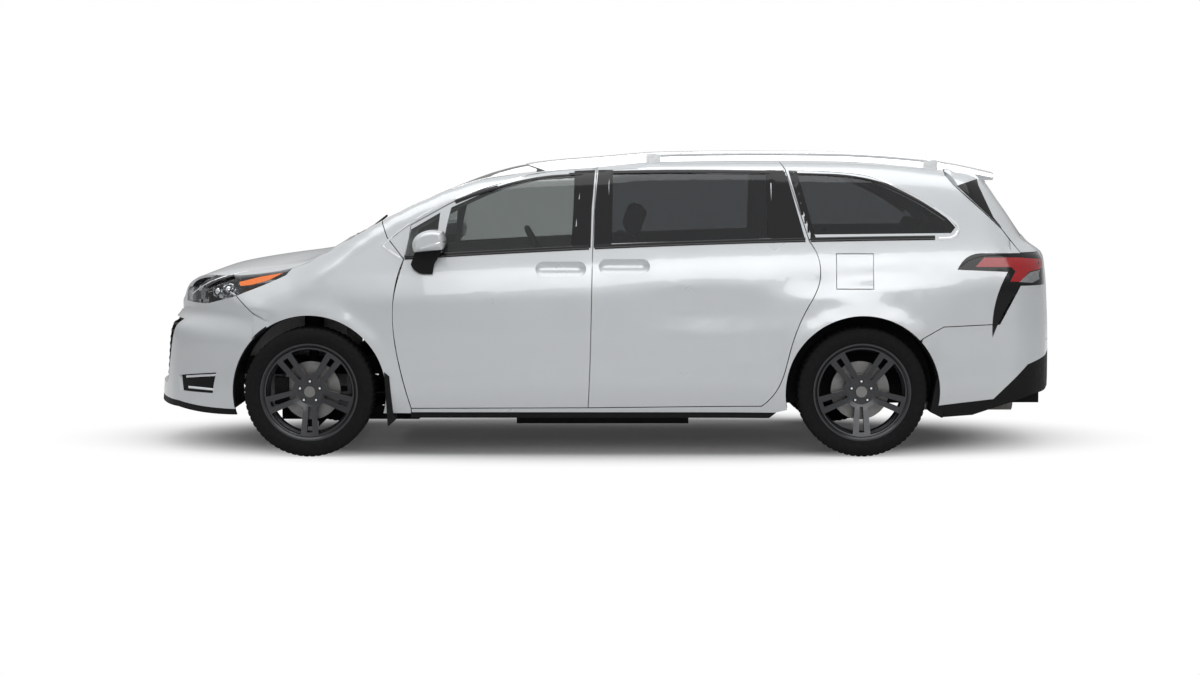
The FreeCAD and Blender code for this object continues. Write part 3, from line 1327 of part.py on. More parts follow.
def underbody():
    """Floor, bulkhead, wheel housings, engine, tank and exhaust."""
    floor_z = size("floor_height") - size("floor_thickness")
    front_x = bulkhead_x
    rear_gap_x = rear_axle_x - size("arch_radius") - size("bulkhead_thickness")
    back_x = tail_line(size("floor_height")) - size("floor_inset") * 2
    well_x = size("cargo_well_x")
    low, high = floor_z, size("rear_floor_height")
    half_floor, half_rear = size("floor_width") / 2, size("rear_floor_width") / 2
    thick = size("floor_thickness")
    pieces = [
        box_between(rear_gap_x - thick, rear_gap_x, -half_floor, half_floor, low, high),
        box_between(rear_gap_x - thick, well_x, -half_rear, half_rear, high - thick, high),
        box_between(well_x - thick, well_x, -half_rear, half_rear, low, high),
        box_between(well_x - thick, back_x, -half_rear, half_rear, low, low + thick),
        box_between(front_x, front_x + size("bulkhead_thickness"), -half_floor, half_floor, low,
                    low + size("bulkhead_height")),
    ]
    rail_z = size("rail_beam_base")
    mount_z = subframe_z + size("subframe_height") + size("seat_clearance")
    for side in (-1, 1):
        y = side * size("rail_beam_spread") / 2
        pieces.append(box_between(size("bumper_beam_x"), front_x + overrun, y - size("rail_beam_width") / 2,
                                  y + size("rail_beam_width") / 2, rail_z, rail_z + size("rail_beam_height")))
        mount_y = side * (size("subframe_width") - size("subframe_beam")) / 2
        pieces.append(box_between(front_x, front_x + size("bulkhead_thickness"),
                                  mount_y - size("subframe_beam") / 2, mount_y + size("subframe_beam") / 2,
                                  mount_z, low + overrun))
    pieces.append(box_between(size("bumper_beam_x") - size("bumper_beam_depth"), size("bumper_beam_x"),
                              -size("bumper_beam_width") / 2, size("bumper_beam_width") / 2,
                              rail_z, rail_z + size("rail_beam_height")))
    main = box_between(front_x, rear_gap_x, -half_floor, half_floor, low, low + thick)
    floor = main.fuse(pieces)
    feature("floor_pan", floor)
    liners = []
    radius = size("arch_radius") - size("seat_clearance")
    for axle_x, depth, wall in ((front_axle_x, "front_liner_depth", -overrun),
                                (rear_axle_x, "rear_liner_depth", size("liner_thickness"))):
        outer_y = -half_width * LINER_share
        outer = arch_cylinder(axle_x, radius, outer_y, outer_y + size(depth))
        inner = arch_cylinder(axle_x, radius - size("liner_thickness"), outer_y - overrun,
                              outer_y + size(depth) - wall)
        keep = box_between(axle_x - radius, axle_x + radius, -half_width, 0, floor_z, size("roof_height"))
        hole = arch_cylinder(axle_x, size("upright_radius") + gap, -half_width, 0)
        liners.append(outer.cut(inner).common(keep).cut(hole))
    feature("arch_liners", Part.makeCompound(liners + [mirrored(liner) for liner in liners]))
    grouped("engine", box("engine_block", "engine_length", "engine_width", "engine_height",
                          (front_axle_x + size("engine_shift"), 0,
                           subframe_z + size("subframe_height") + size("seat_clearance"))))
    grouped("fuel_tank", box("tank", "tank_length", "tank_width", "tank_height",
                             (0, -size("tank_shift"), floor_z - size("tank_height") - size("seat_clearance"))))
    tube = rod("exhaust_pipe", "exhaust_radius", "exhaust_length",
               (front_x + size("subframe_beam"), size("exhaust_shift"),
                floor_z - size("exhaust_radius") - size("seat_clearance")), (1, 0, 0))
    muffler = rod("muffler", "muffler_radius", "muffler_length",
                  (back_x - size("muffler_length"), size("exhaust_shift"),
                   floor_z - size("muffler_radius") - size("seat_clearance") * 2), (1, 0, 0))
    fused("exhaust", tube, muffler)


def seat(name, width, x, y, floor_z, leg_height="seat_leg_height"):
    """A cushion on a foot, with a raked back and a head restraint."""
    turn = Rotation(Vector(0, 1, 0), size("seat_back_tilt"))
    foot = box(name + "_foot", size("seat_depth") * SEAT_FOOT_share, size(width) * SEAT_FOOT_share, leg_height,
               (x, y, floor_z))
    cushion = box(name + "_cushion", "seat_depth", width, "seat_base_height",
                  (x, y, floor_z + size(leg_height)))
    back_z = floor_z + size(leg_height) + size("seat_base_height") / 2
    back_x = x + size("seat_depth") / 2
    back = box(name + "_back", "seat_back_thickness", width, "seat_back_height", (back_x, y, back_z), turn)
    top = Vector(back_x, y, back_z) + turn.multVec(Vector(0, 0, size("seat_back_height") + size("headrest_gap")))
    rest = box(name + "_rest", "headrest_thickness", "headrest_width", "headrest_height", top, turn)
    stem = box(name + "_stem", "headrest_stem", "headrest_width / 2", "headrest_height",
               top - turn.multVec(Vector(0, 0, size("headrest_height") / 2)), turn)
    made = doc.addObject("Part::MultiFuse", name)
    made.Shapes = [foot, cushion, back, rest, stem]
    return made


def interior():
    floor_z = size("floor_height")
    y = size("seat_spread") / 2
    grouped("front_seats", seat("driver_seat", "seat_width", size("front_seat_x"), -y, floor_z),
            seat("passenger_seat", "seat_width", size("front_seat_x"), y, floor_z))
    grouped("middle_seats", seat("middle_left", "seat_width", size("middle_seat_x"), -y, floor_z),
            seat("middle_right", "seat_width", size("middle_seat_x"), y, floor_z))
    grouped("rear_seats", seat("rear_bench", "bench_width", size("rear_seat_x"), 0, size("rear_floor_height"),
                               "rear_leg_height"))
    dash_x = bulkhead_x + size("bulkhead_thickness") + size("seat_clearance") + size("dash_depth") / 2
    grouped("dashboard", box("dash", "dash_depth", "dash_width", "dash_height", (dash_x, 0, size("dash_base"))))
    tilt = math.radians(size("column_tilt"))
    away = Vector(math.cos(tilt), 0, math.sin(tilt))
    base_x = dash_x + size("dash_depth") / 2 + size("column_radius") * math.sin(tilt) + size("seat_clearance")
    base = Vector(base_x, -y, size("dash_base") + size("dash_height") * COLUMN_RISE_share)
    column = rod("steering_column", "column_radius", "column_length", base, away)
    wheel = bind(doc.addObject("Part::Torus", "steering_rim"), Radius1="steering_wheel_radius",
                 Radius2="steering_rim_radius")
    turn = Rotation(Vector(0, 0, 1), away)
    wheel.Placement = Placement(base + away * size("column_length"), turn)
    spoke = box("steering_spoke", "steering_rim_radius * 2", "steering_wheel_radius * 2", "steering_rim_radius / 2",
                base + away * (size("column_length") - size("steering_rim_radius") * SPOKE_SINK_share), turn)
    fused("steering_wheel", column, wheel, spoke)


def mirrors():
    """Door mirrors: a rounded shell, and the foot on the door that carries it."""
    start = seen([MIRROR_pixels[0]], GLASS_depth_share)[0]
    runs = [seen(run, GLASS_depth_share) for run in MIRROR_pixels[1:]]
    foot_y = skin_at(start[0], start[1]).y
    sections = []
    for share, growth_share in MIRROR_shares:
        y = foot_y - size("mirror_gap") - (size("mirror_reach") - size("mirror_gap")) * share
        growth = growth_share * size("mirror_reach")
        sections.append(outline_wire(start, runs, lambda x, z: Vector(x, y, z), growth))
    shell = Part.makeLoft(sections, True)
    foot = seen_prism(MIRROR_FOOT_pixels, GLASS_depth_share, 0, foot_y - size("mirror_gap") * 2,
                      foot_y + overrun)
    foot = without(foot, nodes["front_door_left"].Shape, nodes["front_window_left"].Shape, shell)
    feature("mirror_left", shell)
    feature("mirror_right", mirrored(shell))
    feature("mirror_foot_left", solid_of(foot))
    feature("mirror_foot_right", mirrored(solid_of(foot)))


def roof_at(x, y):
    return hit((x, y, size("axis_height")), (0.0, 0.0, 1.0), 0.0, size("roof_height")).z


def over_glass(shares):
    """Points a little above the glass, from shares of the length and half width."""
    points = []
    for x_share, y_share in shares:
        x, y = x_share * size("overall_length"), y_share * half_width
        points.append(Vector(x, y, roof_at(x, y) + size("wiper_height")))
    return points


def small_parts():
    """Roof rails, wipers, mud flaps, and the black trim along the lower edge of the body."""
    y = -size("rail_spread") / 2
    points = []
    for px in RAIL_pixels:
        x = place_x(px, ROOF_depth_share)
        points.append(Vector(x, y, roof_at(x, y) + size("rail_rise")))
    bar = pipe(points, size("rail_radius"))
    feet = []
    for foot_x, end in ((points[0].x, 1), (points[-1].x, -1)):
        x = foot_x + end * size("rail_foot_width")
        top = roof_at(x, y)
        feet.append(box_between(x - size("rail_foot_width"), x + size("rail_foot_width"),
                                y - size("rail_radius"), y + size("rail_radius"),
                                top - size("rail_radius"), top + size("rail_rise")))
    rail = bar.fuse(feet).cut(nodes["roof_panel"].Shape).cut(nodes["body_sides"].Shape)
    rail = rail.cut(nodes["sliding_doors"].Shape)
    feature("roof_rails", both(solid_of(rail)))
    wipers = []
    for blade_shares, arm_shares in zip(WIPER_BLADE_shares, WIPER_ARM_shares):
        blade = pipe(over_glass(blade_shares), size("wiper_radius"))
        arm = pipe(over_glass(arm_shares), size("wiper_radius"))
        foot = over_glass(arm_shares)[0] - Vector(0, 0, size("wiper_pivot_height"))
        pivot = Part.makeCylinder(size("wiper_pivot_radius"), size("wiper_pivot_height") + size("wiper_radius"), foot)
        wipers.append(without(pivot.fuse([arm, blade]), nodes["cowl"].Shape, nodes["windscreen"].Shape))
    feature("wipers", Part.makeCompound([solid_of(wiper) for wiper in wipers]))
    flaps = []
    for outline in (FRONT_FLAP_pixels, REAR_FLAP_pixels):
        flap = seen_prism(outline, SKIN_depth_share, 0.0, -half_width * FLAP_share,
                          -half_width * FLAP_share + size("flap_width"))
        for label in ("fenders", "body_sides", "rear_bumper", "arch_liners"):
            flap = flap.cut(nodes[label].Shape)
        flap = without(flap, *trims)
        flaps.append(solid_of(flap))
    feature("mud_flaps", Part.makeCompound(flaps + [mirrored(flap) for flap in flaps]))
    feature("lower_trim", Part.makeCompound(trims))


for build in (front_doors, sliding_doors, body_sides, top_panels, fenders, nose, tail, wheels,
              front_suspension, rear_suspension, underbody, interior, mirrors, small_parts):
    build()
doc.recompute()
for made in doc.Objects:
    if "Invalid" in made.State or "Error" in made.State:
        raise SystemExit("%s failed: %s" % (made.Label, made.State))
for label, made in nodes.items():
    if made.Shape.isNull() or not made.Shape.isValid():
        raise SystemExit("%s has no valid shape" % label)

os.makedirs("parts", exist_ok=True)
for label, made in nodes.items():
    made.Shape.exportStep("parts/%s.step" % label)
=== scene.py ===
import json
import math

import bmesh
import bpy
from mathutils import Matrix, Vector, geometry
from mathutils.bvhtree import BVHTree


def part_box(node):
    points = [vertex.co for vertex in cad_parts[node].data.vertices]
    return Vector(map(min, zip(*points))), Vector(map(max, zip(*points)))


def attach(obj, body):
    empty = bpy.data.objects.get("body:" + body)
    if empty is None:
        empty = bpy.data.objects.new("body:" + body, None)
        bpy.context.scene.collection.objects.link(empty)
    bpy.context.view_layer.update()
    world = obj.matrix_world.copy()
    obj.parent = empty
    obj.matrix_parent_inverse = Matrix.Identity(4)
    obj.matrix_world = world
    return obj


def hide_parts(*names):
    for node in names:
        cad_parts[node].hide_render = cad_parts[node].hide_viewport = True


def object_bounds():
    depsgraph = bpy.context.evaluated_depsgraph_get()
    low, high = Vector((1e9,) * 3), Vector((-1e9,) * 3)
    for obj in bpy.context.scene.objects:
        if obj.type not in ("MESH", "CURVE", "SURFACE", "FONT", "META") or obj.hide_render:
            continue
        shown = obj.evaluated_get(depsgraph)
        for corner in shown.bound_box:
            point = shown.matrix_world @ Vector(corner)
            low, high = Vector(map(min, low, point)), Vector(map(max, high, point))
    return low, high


# A silver-white minivan seen from its left side. Metres, nose to -X, left side to -Y, up +Z.
# A value named _pixel or _pixels is a place or a length in the photograph, and one named _share or
# _shares is a part of a size that the frame or another value gives.

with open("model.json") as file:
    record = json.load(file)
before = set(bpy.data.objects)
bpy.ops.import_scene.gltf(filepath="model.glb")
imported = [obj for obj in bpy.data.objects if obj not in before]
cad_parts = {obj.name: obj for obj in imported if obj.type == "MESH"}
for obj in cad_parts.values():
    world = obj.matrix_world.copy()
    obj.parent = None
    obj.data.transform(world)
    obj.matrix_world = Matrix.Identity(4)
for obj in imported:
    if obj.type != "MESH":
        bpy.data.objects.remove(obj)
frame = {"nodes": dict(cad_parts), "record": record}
cad_low, cad_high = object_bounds()
nodes = frame["nodes"]

MAIN = "main_body"
LEFT_DOOR = "door_left_body"
RIGHT_DOOR = "door_right_body"
TAILGATE = "tailgate_body"

# The photograph's own frame: hubs, middle and level of the eye.
FRONT_HUB_pixel = 308.8
REAR_HUB_pixel = 862.4
VIEW_CENTRE_pixel = 600.0
EYE_LEVEL_pixel = 150.0
PICTURE_WIDTH_pixels = 1200.0
PICTURE_HEIGHT_pixels = 675.0
FOCAL_pixels = 2364.0
SENSOR_MM = 36.0

CORNERS = ("front_left", "front_right", "rear_left", "rear_right")


def middle(node):
    low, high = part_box(node)
    return (Vector(low) + Vector(high)) / 2


hubs = {corner: middle("tyre_" + corner) for corner in CORNERS}
tyre_low, tyre_high = (Vector(v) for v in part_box("tyre_front_left"))
tyre_radius = (tyre_high.z - tyre_low.z) / 2
tyre_width = tyre_high.y - tyre_low.y
metres_per_pixel = (hubs["rear_left"].x - hubs["front_left"].x) / (REAR_HUB_pixel - FRONT_HUB_pixel)
eye = Vector((hubs["front_left"].x - (FRONT_HUB_pixel - VIEW_CENTRE_pixel) * metres_per_pixel,
              hubs["front_left"].y - FOCAL_pixels * metres_per_pixel, cad_high.z))


# Places on the body, found through pixels of the photograph

def trees(*names):
    """One search tree over the meshes of some CAD nodes."""
    verts, faces = [], []
    for name in names:
        mesh = nodes[name].data
        start = len(verts)
        verts += [v.co.copy() for v in mesh.vertices]
        faces += [[start + i for i in p.vertices] for p in mesh.polygons]
    return BVHTree.FromPolygons(verts, faces)


skin = trees("fenders", "hood", "front_bumper", "front_door_left", "front_window_left", "sliding_doors",
             "sliding_windows", "body_sides", "quarter_windows", "rear_bumper", "tailgate", "tail_lamps",
             "headlamps", "roof_panel", "windscreen")


def ray(px, py):
    """Direction from the eye through a pixel of the photograph."""
    return Vector(((px - VIEW_CENTRE_pixel) / FOCAL_pixels, 1.0, -(py - EYE_LEVEL_pixel) / FOCAL_pixels))


def on_skin(px, py, tree=skin):
    """Where a pixel of the photograph falls on the car's left half, and the surface's direction there."""
    way = ray(px, py).normalized()
    point, normal, _, _ = tree.ray_cast(eye, way)
    if point is None or point.y > 0:
        return None, None
    if normal.dot(way) > 0:
        normal = -normal
    return point, normal


def smooth_points(points, step):
    """A Catmull-Rom curve through pixels, sampled about every step pixels."""
    made = []
    count = len(points)
    for i in range(count - 1):
        p0 = Vector(points[max(i - 1, 0)])
        p1, p2 = Vector(points[i]), Vector(points[i + 1])
        p3 = Vector(points[min(i + 2, count - 1)])
        parts = max(1, int((p2 - p1).length / step))
        for k in range(parts):
            t = k / parts
            made.append(0.5 * (2 * p1 + (p2 - p0) * t + (2 * p0 - 5 * p1 + 4 * p2 - p3) * t * t
                               + (3 * p1 - p0 - 3 * p2 + p3) * t ** 3))
    made.append(Vector(points[-1]))
    return made


def straight_points(points, step):
    """Straight stretches between pixels, sampled about every step pixels."""
    made = []
    for a, b in zip(points, points[1:]):
        a, b = Vector(a), Vector(b)
        parts = max(1, int((b - a).length / step))
        made += [a + (b - a) * (k / parts) for k in range(parts)]
    made.append(Vector(points[-1]))
    return made


# Materials

SPOT_DETAIL = 4.0
GLOSS_CHANGE_share = 0.25
GRAIN_RELIEF = 0.001
GLASS_IOR = 1.5
GLASS_ROUGHNESS = 0.02
FLAKE_SCALE = 1600.0
FLAKE_BUMP = 0.05
FLAKE_RELIEF = 0.0004
WEAVE_SCALE = 260.0
WEAVE_DISTORTION = 3.0
WEAVE_BUMP = 0.35
WEAVE_RELIEF = 0.001
CLOTH_SHEEN = 0.4


def add_node(tree, kind, **inputs):
    """A shader node with some of its inputs set."""
    made = tree.nodes.new(kind)
    for key, value in inputs.items():
        made.inputs[key].default_value = value
    return made


def connect(tree, *links):
    """Links in a node tree, each as source, its output, target, its input."""
    for source, output, target, entry in links:
        tree.links.new(source.outputs[output], target.inputs[entry])


def relief(made, kind, output, strength, height, **inputs):
    """A fine relief on a material, from one texture in the object's own space."""
    tree = made.node_tree
    place = tree.nodes.new("ShaderNodeTexCoord")
    texture = add_node(tree, kind, **inputs)
    lift = add_node(tree, "ShaderNodeBump", Strength=strength, Distance=height)
    connect(tree, (place, "Object", texture, "Vector"), (texture, output, lift, "Height"),
            (lift, "Normal", tree.nodes["Principled BSDF"], "Normal"))


def material(name, colour, rough, metal=0.0, coat=0.0, coat_rough=0.03, grain=None, bump=0.0, mottle=0.0,
             mottle_size=40.0, specular=0.5):
    """A surface with a fine grain in its bump and a little change in its colour and gloss."""
    made = bpy.data.materials.new(name)
    made.use_nodes = True
    tree = made.node_tree
    shader = tree.nodes["Principled BSDF"]
    shader.inputs["Metallic"].default_value = metal
    shader.inputs["Coat Weight"].default_value = coat
    shader.inputs["Coat Roughness"].default_value = coat_rough
    shader.inputs["Specular IOR Level"].default_value = specular
    place = tree.nodes.new("ShaderNodeTexCoord")
    spots = add_node(tree, "ShaderNodeTexNoise", Scale=mottle_size, Detail=SPOT_DETAIL)
    ramp = tree.nodes.new("ShaderNodeMapRange")
    ramp.inputs["To Min"].default_value = rough * (1 - GLOSS_CHANGE_share)
    ramp.inputs["To Max"].default_value = min(1.0, rough * (1 + GLOSS_CHANGE_share))
    mix = tree.nodes.new("ShaderNodeMix")
    mix.data_type = "RGBA"
    mix.inputs["A"].default_value = (*colour, 1)
    mix.inputs["B"].default_value = (*[c * (1 - mottle) for c in colour], 1)
    connect(tree, (place, "Object", spots, "Vector"), (spots, "Fac", ramp, "Value"),
            (ramp, "Result", shader, "Roughness"), (spots, "Fac", mix, "Factor"),
            (mix, "Result", shader, "Base Color"))
    if grain:
        relief(made, "ShaderNodeTexNoise", "Fac", bump, GRAIN_RELIEF, Scale=grain)
    return made


def see_through(name, tint, through):
    """Thin glass: a tinted clear pane with a mirror sheen that grows at the edges."""
    made = bpy.data.materials.new(name)
    made.use_nodes = True
    tree = made.node_tree
    tree.nodes.remove(tree.nodes["Principled BSDF"])
    out = tree.nodes["Material Output"]
    clear = add_node(tree, "ShaderNodeBsdfTransparent", Color=(*[c * through for c in tint], 1))
    gloss = add_node(tree, "ShaderNodeBsdfGlossy", Roughness=GLASS_ROUGHNESS)
    edge = add_node(tree, "ShaderNodeFresnel", IOR=GLASS_IOR)
    mix = tree.nodes.new("ShaderNodeMixShader")
    connect(tree, (edge, "Fac", mix, "Fac"), (clear, "BSDF", mix, 1), (gloss, "BSDF", mix, 2),
            (mix, "Shader", out, "Surface"))
    return made


def paint_material():
    """Pearl paint: a metallic base under a clear coat, with fine flakes."""
    made = material("pearl_paint", colour=(0.50, 0.515, 0.525), rough=0.30, metal=0.35, coat=1.0,
                    coat_rough=0.02, mottle=0.02, mottle_size=3.0)
    relief(made, "ShaderNodeTexVoronoi", "Color", FLAKE_BUMP, FLAKE_RELIEF, Scale=FLAKE_SCALE)
    return made


def cloth_material():
    """Woven seat cloth."""
    made = material("seat_cloth", colour=(0.16, 0.155, 0.15), rough=0.85, mottle=0.25, mottle_size=200.0,
                    specular=0.2)
    made.node_tree.nodes["Principled BSDF"].inputs["Sheen Weight"].default_value = CLOTH_SHEEN
    relief(made, "ShaderNodeTexWave", "Fac", WEAVE_BUMP, WEAVE_RELIEF, Scale=WEAVE_SCALE,
           Distortion=WEAVE_DISTORTION)
    return made


paint = paint_material()
chrome = material("chrome", colour=(0.82, 0.83, 0.84), rough=0.07, metal=1.0, mottle=0.03)
black_gloss = material("gloss_black", colour=(0.004, 0.004, 0.0045), rough=0.10, mottle=0.1, specular=0.35)
black_plastic = material("grained_black", colour=(0.008, 0.008, 0.0085), rough=0.6, grain=700.0, bump=0.25,
                         mottle=0.15, specular=0.12)
rubber = material("tyre_rubber", colour=(0.009, 0.009, 0.0093), rough=0.8, grain=420.0, bump=0.3,
                  mottle=0.25, specular=0.10)
alloy = material("gunmetal_alloy", colour=(0.050, 0.051, 0.053), rough=0.30, metal=0.85, coat=0.25,
                 grain=900.0, bump=0.05, mottle=0.12)
iron = material("brake_iron", colour=(0.24, 0.235, 0.23), rough=0.38, metal=0.9, grain=500.0, bump=0.15,
                mottle=0.3)
chassis = material("underbody_black", colour=(0.010, 0.010, 0.0105), rough=0.7, grain=300.0, bump=0.3,
                   mottle=0.3, specular=0.1)
cast = material("cast_alloy", colour=(0.28, 0.28, 0.29), rough=0.5, metal=0.8, grain=260.0, bump=0.4,
                mottle=0.3)
steel = material("heat_dulled_steel", colour=(0.32, 0.30, 0.28), rough=0.45, metal=0.9, grain=200.0,
                 bump=0.2, mottle=0.35)
trim = material("soft_trim", colour=(0.022, 0.022, 0.023), rough=0.7, grain=500.0, bump=0.3, mottle=0.15,
                specular=0.2)
cloth = cloth_material()
rail_metal = material("satin_rail", colour=(0.66, 0.67, 0.68), rough=0.22, metal=0.95, mottle=0.04)
clear_glass = see_through("clear_glass", tint=(0.93, 0.96, 0.95), through=0.66)
dark_glass = see_through("dark_glass", tint=(0.90, 0.93, 0.95), through=0.46)
lens_clear = see_through("lens_clear", tint=(0.95, 0.96, 0.97), through=0.92)
lens_red = material("red_lens", colour=(0.34, 0.006, 0.010), rough=0.12, coat=0.25, mottle=0.35,
                    mottle_size=90.0)
amber = material("amber_lens", colour=(0.80, 0.16, 0.008), rough=0.15, coat=0.3, mottle=0.25,
                 mottle_size=90.0)
lamp_bowl = material("lamp_bowl", colour=(0.55, 0.56, 0.57), rough=0.14, metal=1.0, grain=60.0, bump=0.6,
                     mottle=0.5)

LOOKS = {
    "body_paint": paint, "clear_glass": clear_glass, "dark_glass": dark_glass, "lamp_glass": lens_clear,
    "red_lens": lens_red, "black_plastic": black_plastic, "chrome_trim": chrome, "tyre_rubber": rubber,
    "wheel_alloy": alloy, "brake_iron": iron, "chassis_steel": chassis, "exhaust_steel": steel,
    "engine_alloy": cast, "seat_cloth": cloth, "trim_plastic": trim, "rail_metal": rail_metal,
}


def dress_cad():
    """Every CAD node takes its finish from the record's slot; the tail lamps' housings are gloss black."""
    for part in frame["record"]["subparts"]:
        obj = nodes[part["node"]]
        obj.data.materials.clear()
        obj.data.materials.append(LOOKS[part["material_slot"]])
    nodes["tail_lamps"].data.materials[0] = black_gloss


# Forms, as vertices and faces, and the pieces made from them

SMOOTH_ANGLE = math.radians(32)
CUSHION_ANGLE = math.radians(60)
TREAD_ANGLE = math.radians(40)
NUT_ANGLE = math.radians(20)
RIBBON_SECTION_shares = [(-0.5, -1.0), (-0.5, 0.4), (-0.3, 1.0), (0.3, 1.0), (0.5, 0.4), (0.5, -1.0)]
PATCH_STEP_pixels = 3.0
PATCH_SINK = 0.001
MERGE_pixels = 0.01
KEEP_INSIDE = 1
UPRIGHT_LIMIT = 0.1
BEAM_CUT_share = 0.7


def mesh_of(name, verts, faces):
    mesh = bpy.data.meshes.new(name)
    mesh.from_pydata([tuple(v) for v in verts], [], faces)
    mesh.validate()
    made = bmesh.new()
    made.from_mesh(mesh)
    bmesh.ops.recalc_face_normals(made, faces=made.faces)
    made.to_mesh(mesh)
    made.free()
    return mesh


def piece(name, form, look, body, smooth_angle=SMOOTH_ANGLE):
    """One smooth object made from a form, riding on a body."""
    mesh = mesh_of(name, *form)
    obj = bpy.data.objects.new(name, mesh)
    bpy.context.scene.collection.objects.link(obj)
    mesh.materials.append(look)
    for poly in mesh.polygons:
        poly.use_smooth = True
    mesh.set_sharp_from_angle(angle=smooth_angle)
    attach(obj, body)
    return obj


def mirrored(form):
    """The same form on the car's other side."""
    verts, faces = form
    return [Vector((v.x, -v.y, v.z)) for v in verts], [list(reversed(f)) for f in faces]


def joined(*forms):
    """Several forms as one."""
    verts, faces = [], []
    for more_verts, more_faces in forms:
        start = len(verts)
        verts += more_verts
        faces += [[start + i for i in f] for f in more_faces]
    return verts, faces


def sided(name, form, look, body=MAIN):
    """A piece on the left with its twin on the right; on a front door each rides on its own door."""
    twin = mirrored(form)
    if body == MAIN:
        piece(name, joined(form, twin), look, MAIN)
    else:
        piece(name + "_left", form, look, LEFT_DOOR)
        piece(name + "_right", twin, look, RIGHT_DOOR)


def tube_faces(rings, sides):
    """Faces round a tube of rings, with both its ends closed."""
    faces = []
    for i in range(rings - 1):
        for k in range(sides):
            a, b = i * sides + k, i * sides + (k + 1) % sides
            faces.append([a, b, b + sides, a + sides])
    faces.append(list(range(sides)))
    faces.append([rings * sides - 1 - k for k in range(sides)])
    return faces


def turned_faces(rings, size, closed=False):
    """Faces between the rings of a turned outline of size points; a closed outline meets its own start."""
    faces = []
    for i in range(rings):
        here, following = i * size, (i + 1) % rings * size
        for k in range(size if closed else size - 1):
            after = (k + 1) % size
            faces.append([here + k, here + after, following + after, following + k])
    return faces


def ribbon(path, width, rise, tree=skin):
    """A raised strip that lies on the body along a path of pixels; width may change along it."""
    places = []
    for at in path:
        point, normal = on_skin(at.x, at.y, tree)
        if point is not None:
            places.append((point, normal))
    verts = []
    count = len(places)
    for i, (point, normal) in enumerate(places):
        before = places[i - 1][0] if i else point
        after = places[i + 1][0] if i < count - 1 else point
        along = (after - before).normalized()
        across = along.cross(normal).normalized()
        wide = width(i / max(1, count - 1)) if callable(width) else width
        for side, lift in RIBBON_SECTION_shares:
            verts.append(point + across * (side * wide) + normal * (lift * rise))
    return verts, tube_faces(count, len(RIBBON_SECTION_shares))


def patch(outline, lift, step=PATCH_STEP_pixels, tree=skin, sink=PATCH_SINK):
    """A thin panel that follows the body inside an outline of pixels."""
    points = straight_points(list(outline) + [outline[0]], step)[:-1]
    edges = [(i, (i + 1) % len(points)) for i in range(len(points))]
    xs = [p.x for p in points]
    ys = [p.y for p in points]
    for i in range(int((max(xs) - min(xs)) / step)):
        for k in range(int((max(ys) - min(ys)) / step)):
            points.append(Vector((min(xs) + (i + 0.5) * step, min(ys) + (k + 0.5) * step)))
    flat, _, triangles, _, _, _ = geometry.delaunay_2d_cdt(points, edges, [], KEEP_INSIDE, MERGE_pixels)
    verts, kept = [], {}
    for i, p in enumerate(flat):
        point, normal = on_skin(p.x, p.y, tree)
        if point is not None:
            kept[i] = len(verts)
            verts.append(point + normal * lift)
    faces = [[kept[i] for i in t] for t in triangles if all(i in kept for i in t)]
    return solid_sheet(verts, faces, sink + lift)


def solid_sheet(verts, faces, thickness):
    """A sheet with its back copied inward, and closed along its open edges."""
    mesh = bmesh.new()
    made = [mesh.verts.new(v) for v in verts]
    for face in faces:
        try:
            mesh.faces.new([made[i] for i in face])
        except ValueError:
            continue
    bmesh.ops.delete(mesh, geom=[v for v in mesh.verts if not v.link_faces], context="VERTS")
    bmesh.ops.recalc_face_normals(mesh, faces=mesh.faces)
    mesh.normal_update()
    if sum(f.normal.y * f.calc_area() for f in mesh.faces) > 0:
        bmesh.ops.reverse_faces(mesh, faces=mesh.faces)
        mesh.normal_update()
    bmesh.ops.solidify(mesh, geom=mesh.faces[:], thickness=thickness)
    mesh.verts.index_update()
    new_verts = [v.co.copy() for v in mesh.verts]
    new_faces = [[v.index for v in f.verts] for f in mesh.faces]
    mesh.free()
    return new_verts, new_faces


def swept(path, radius, sides):
    """A round bar along points in space."""
    verts = []
    count = len(path)
    for i, point in enumerate(path):
        along = (path[min(i + 1, count - 1)] - path[max(i - 1, 0)]).normalized()
        side = along.cross(Vector((0, 1, 0)))
        side = along.cross(Vector((0, 0, 1))) if side.length < UPRIGHT_LIMIT else side
        side.normalize()
        other = along.cross(side).normalized()
        for k in range(sides):
            turn = 2 * math.pi * k / sides
            verts.append(point + side * (math.cos(turn) * radius) + other * (math.sin(turn) * radius))
    return verts, tube_faces(count, sides)


def beam(start, end, wide, tall):
    """A bar with cut corners between two points."""
    along = (end - start).normalized()
    side = along.cross(Vector((0, 0, 1)))
    side = Vector((0, 1, 0)) if side.length < UPRIGHT_LIMIT else side.normalized()
    other = along.cross(side).normalized()
    cut = BEAM_CUT_share
    ring = [(-1, -cut), (-cut, -1), (cut, -1), (1, -cut), (1, cut), (cut, 1), (-cut, 1), (-1, cut)]
    verts = [at + side * (a * wide / 2) + other * (b * tall / 2) for at in (start, end) for a, b in ring]
    return verts, tube_faces(2, len(ring))


def revolved(profile, centre, side, count):
    """A form turned about a wheel's axle, from (radius, outward distance) points; side is -1 on the left."""
    verts = []
    for i in range(count):
        turn = math.tau * i / count
        for radius, out in profile:
            verts.append(Vector((centre.x + radius * math.cos(turn), centre.y + side * out,
                                 centre.z + radius * math.sin(turn))))
    return verts, turned_faces(count, len(profile))


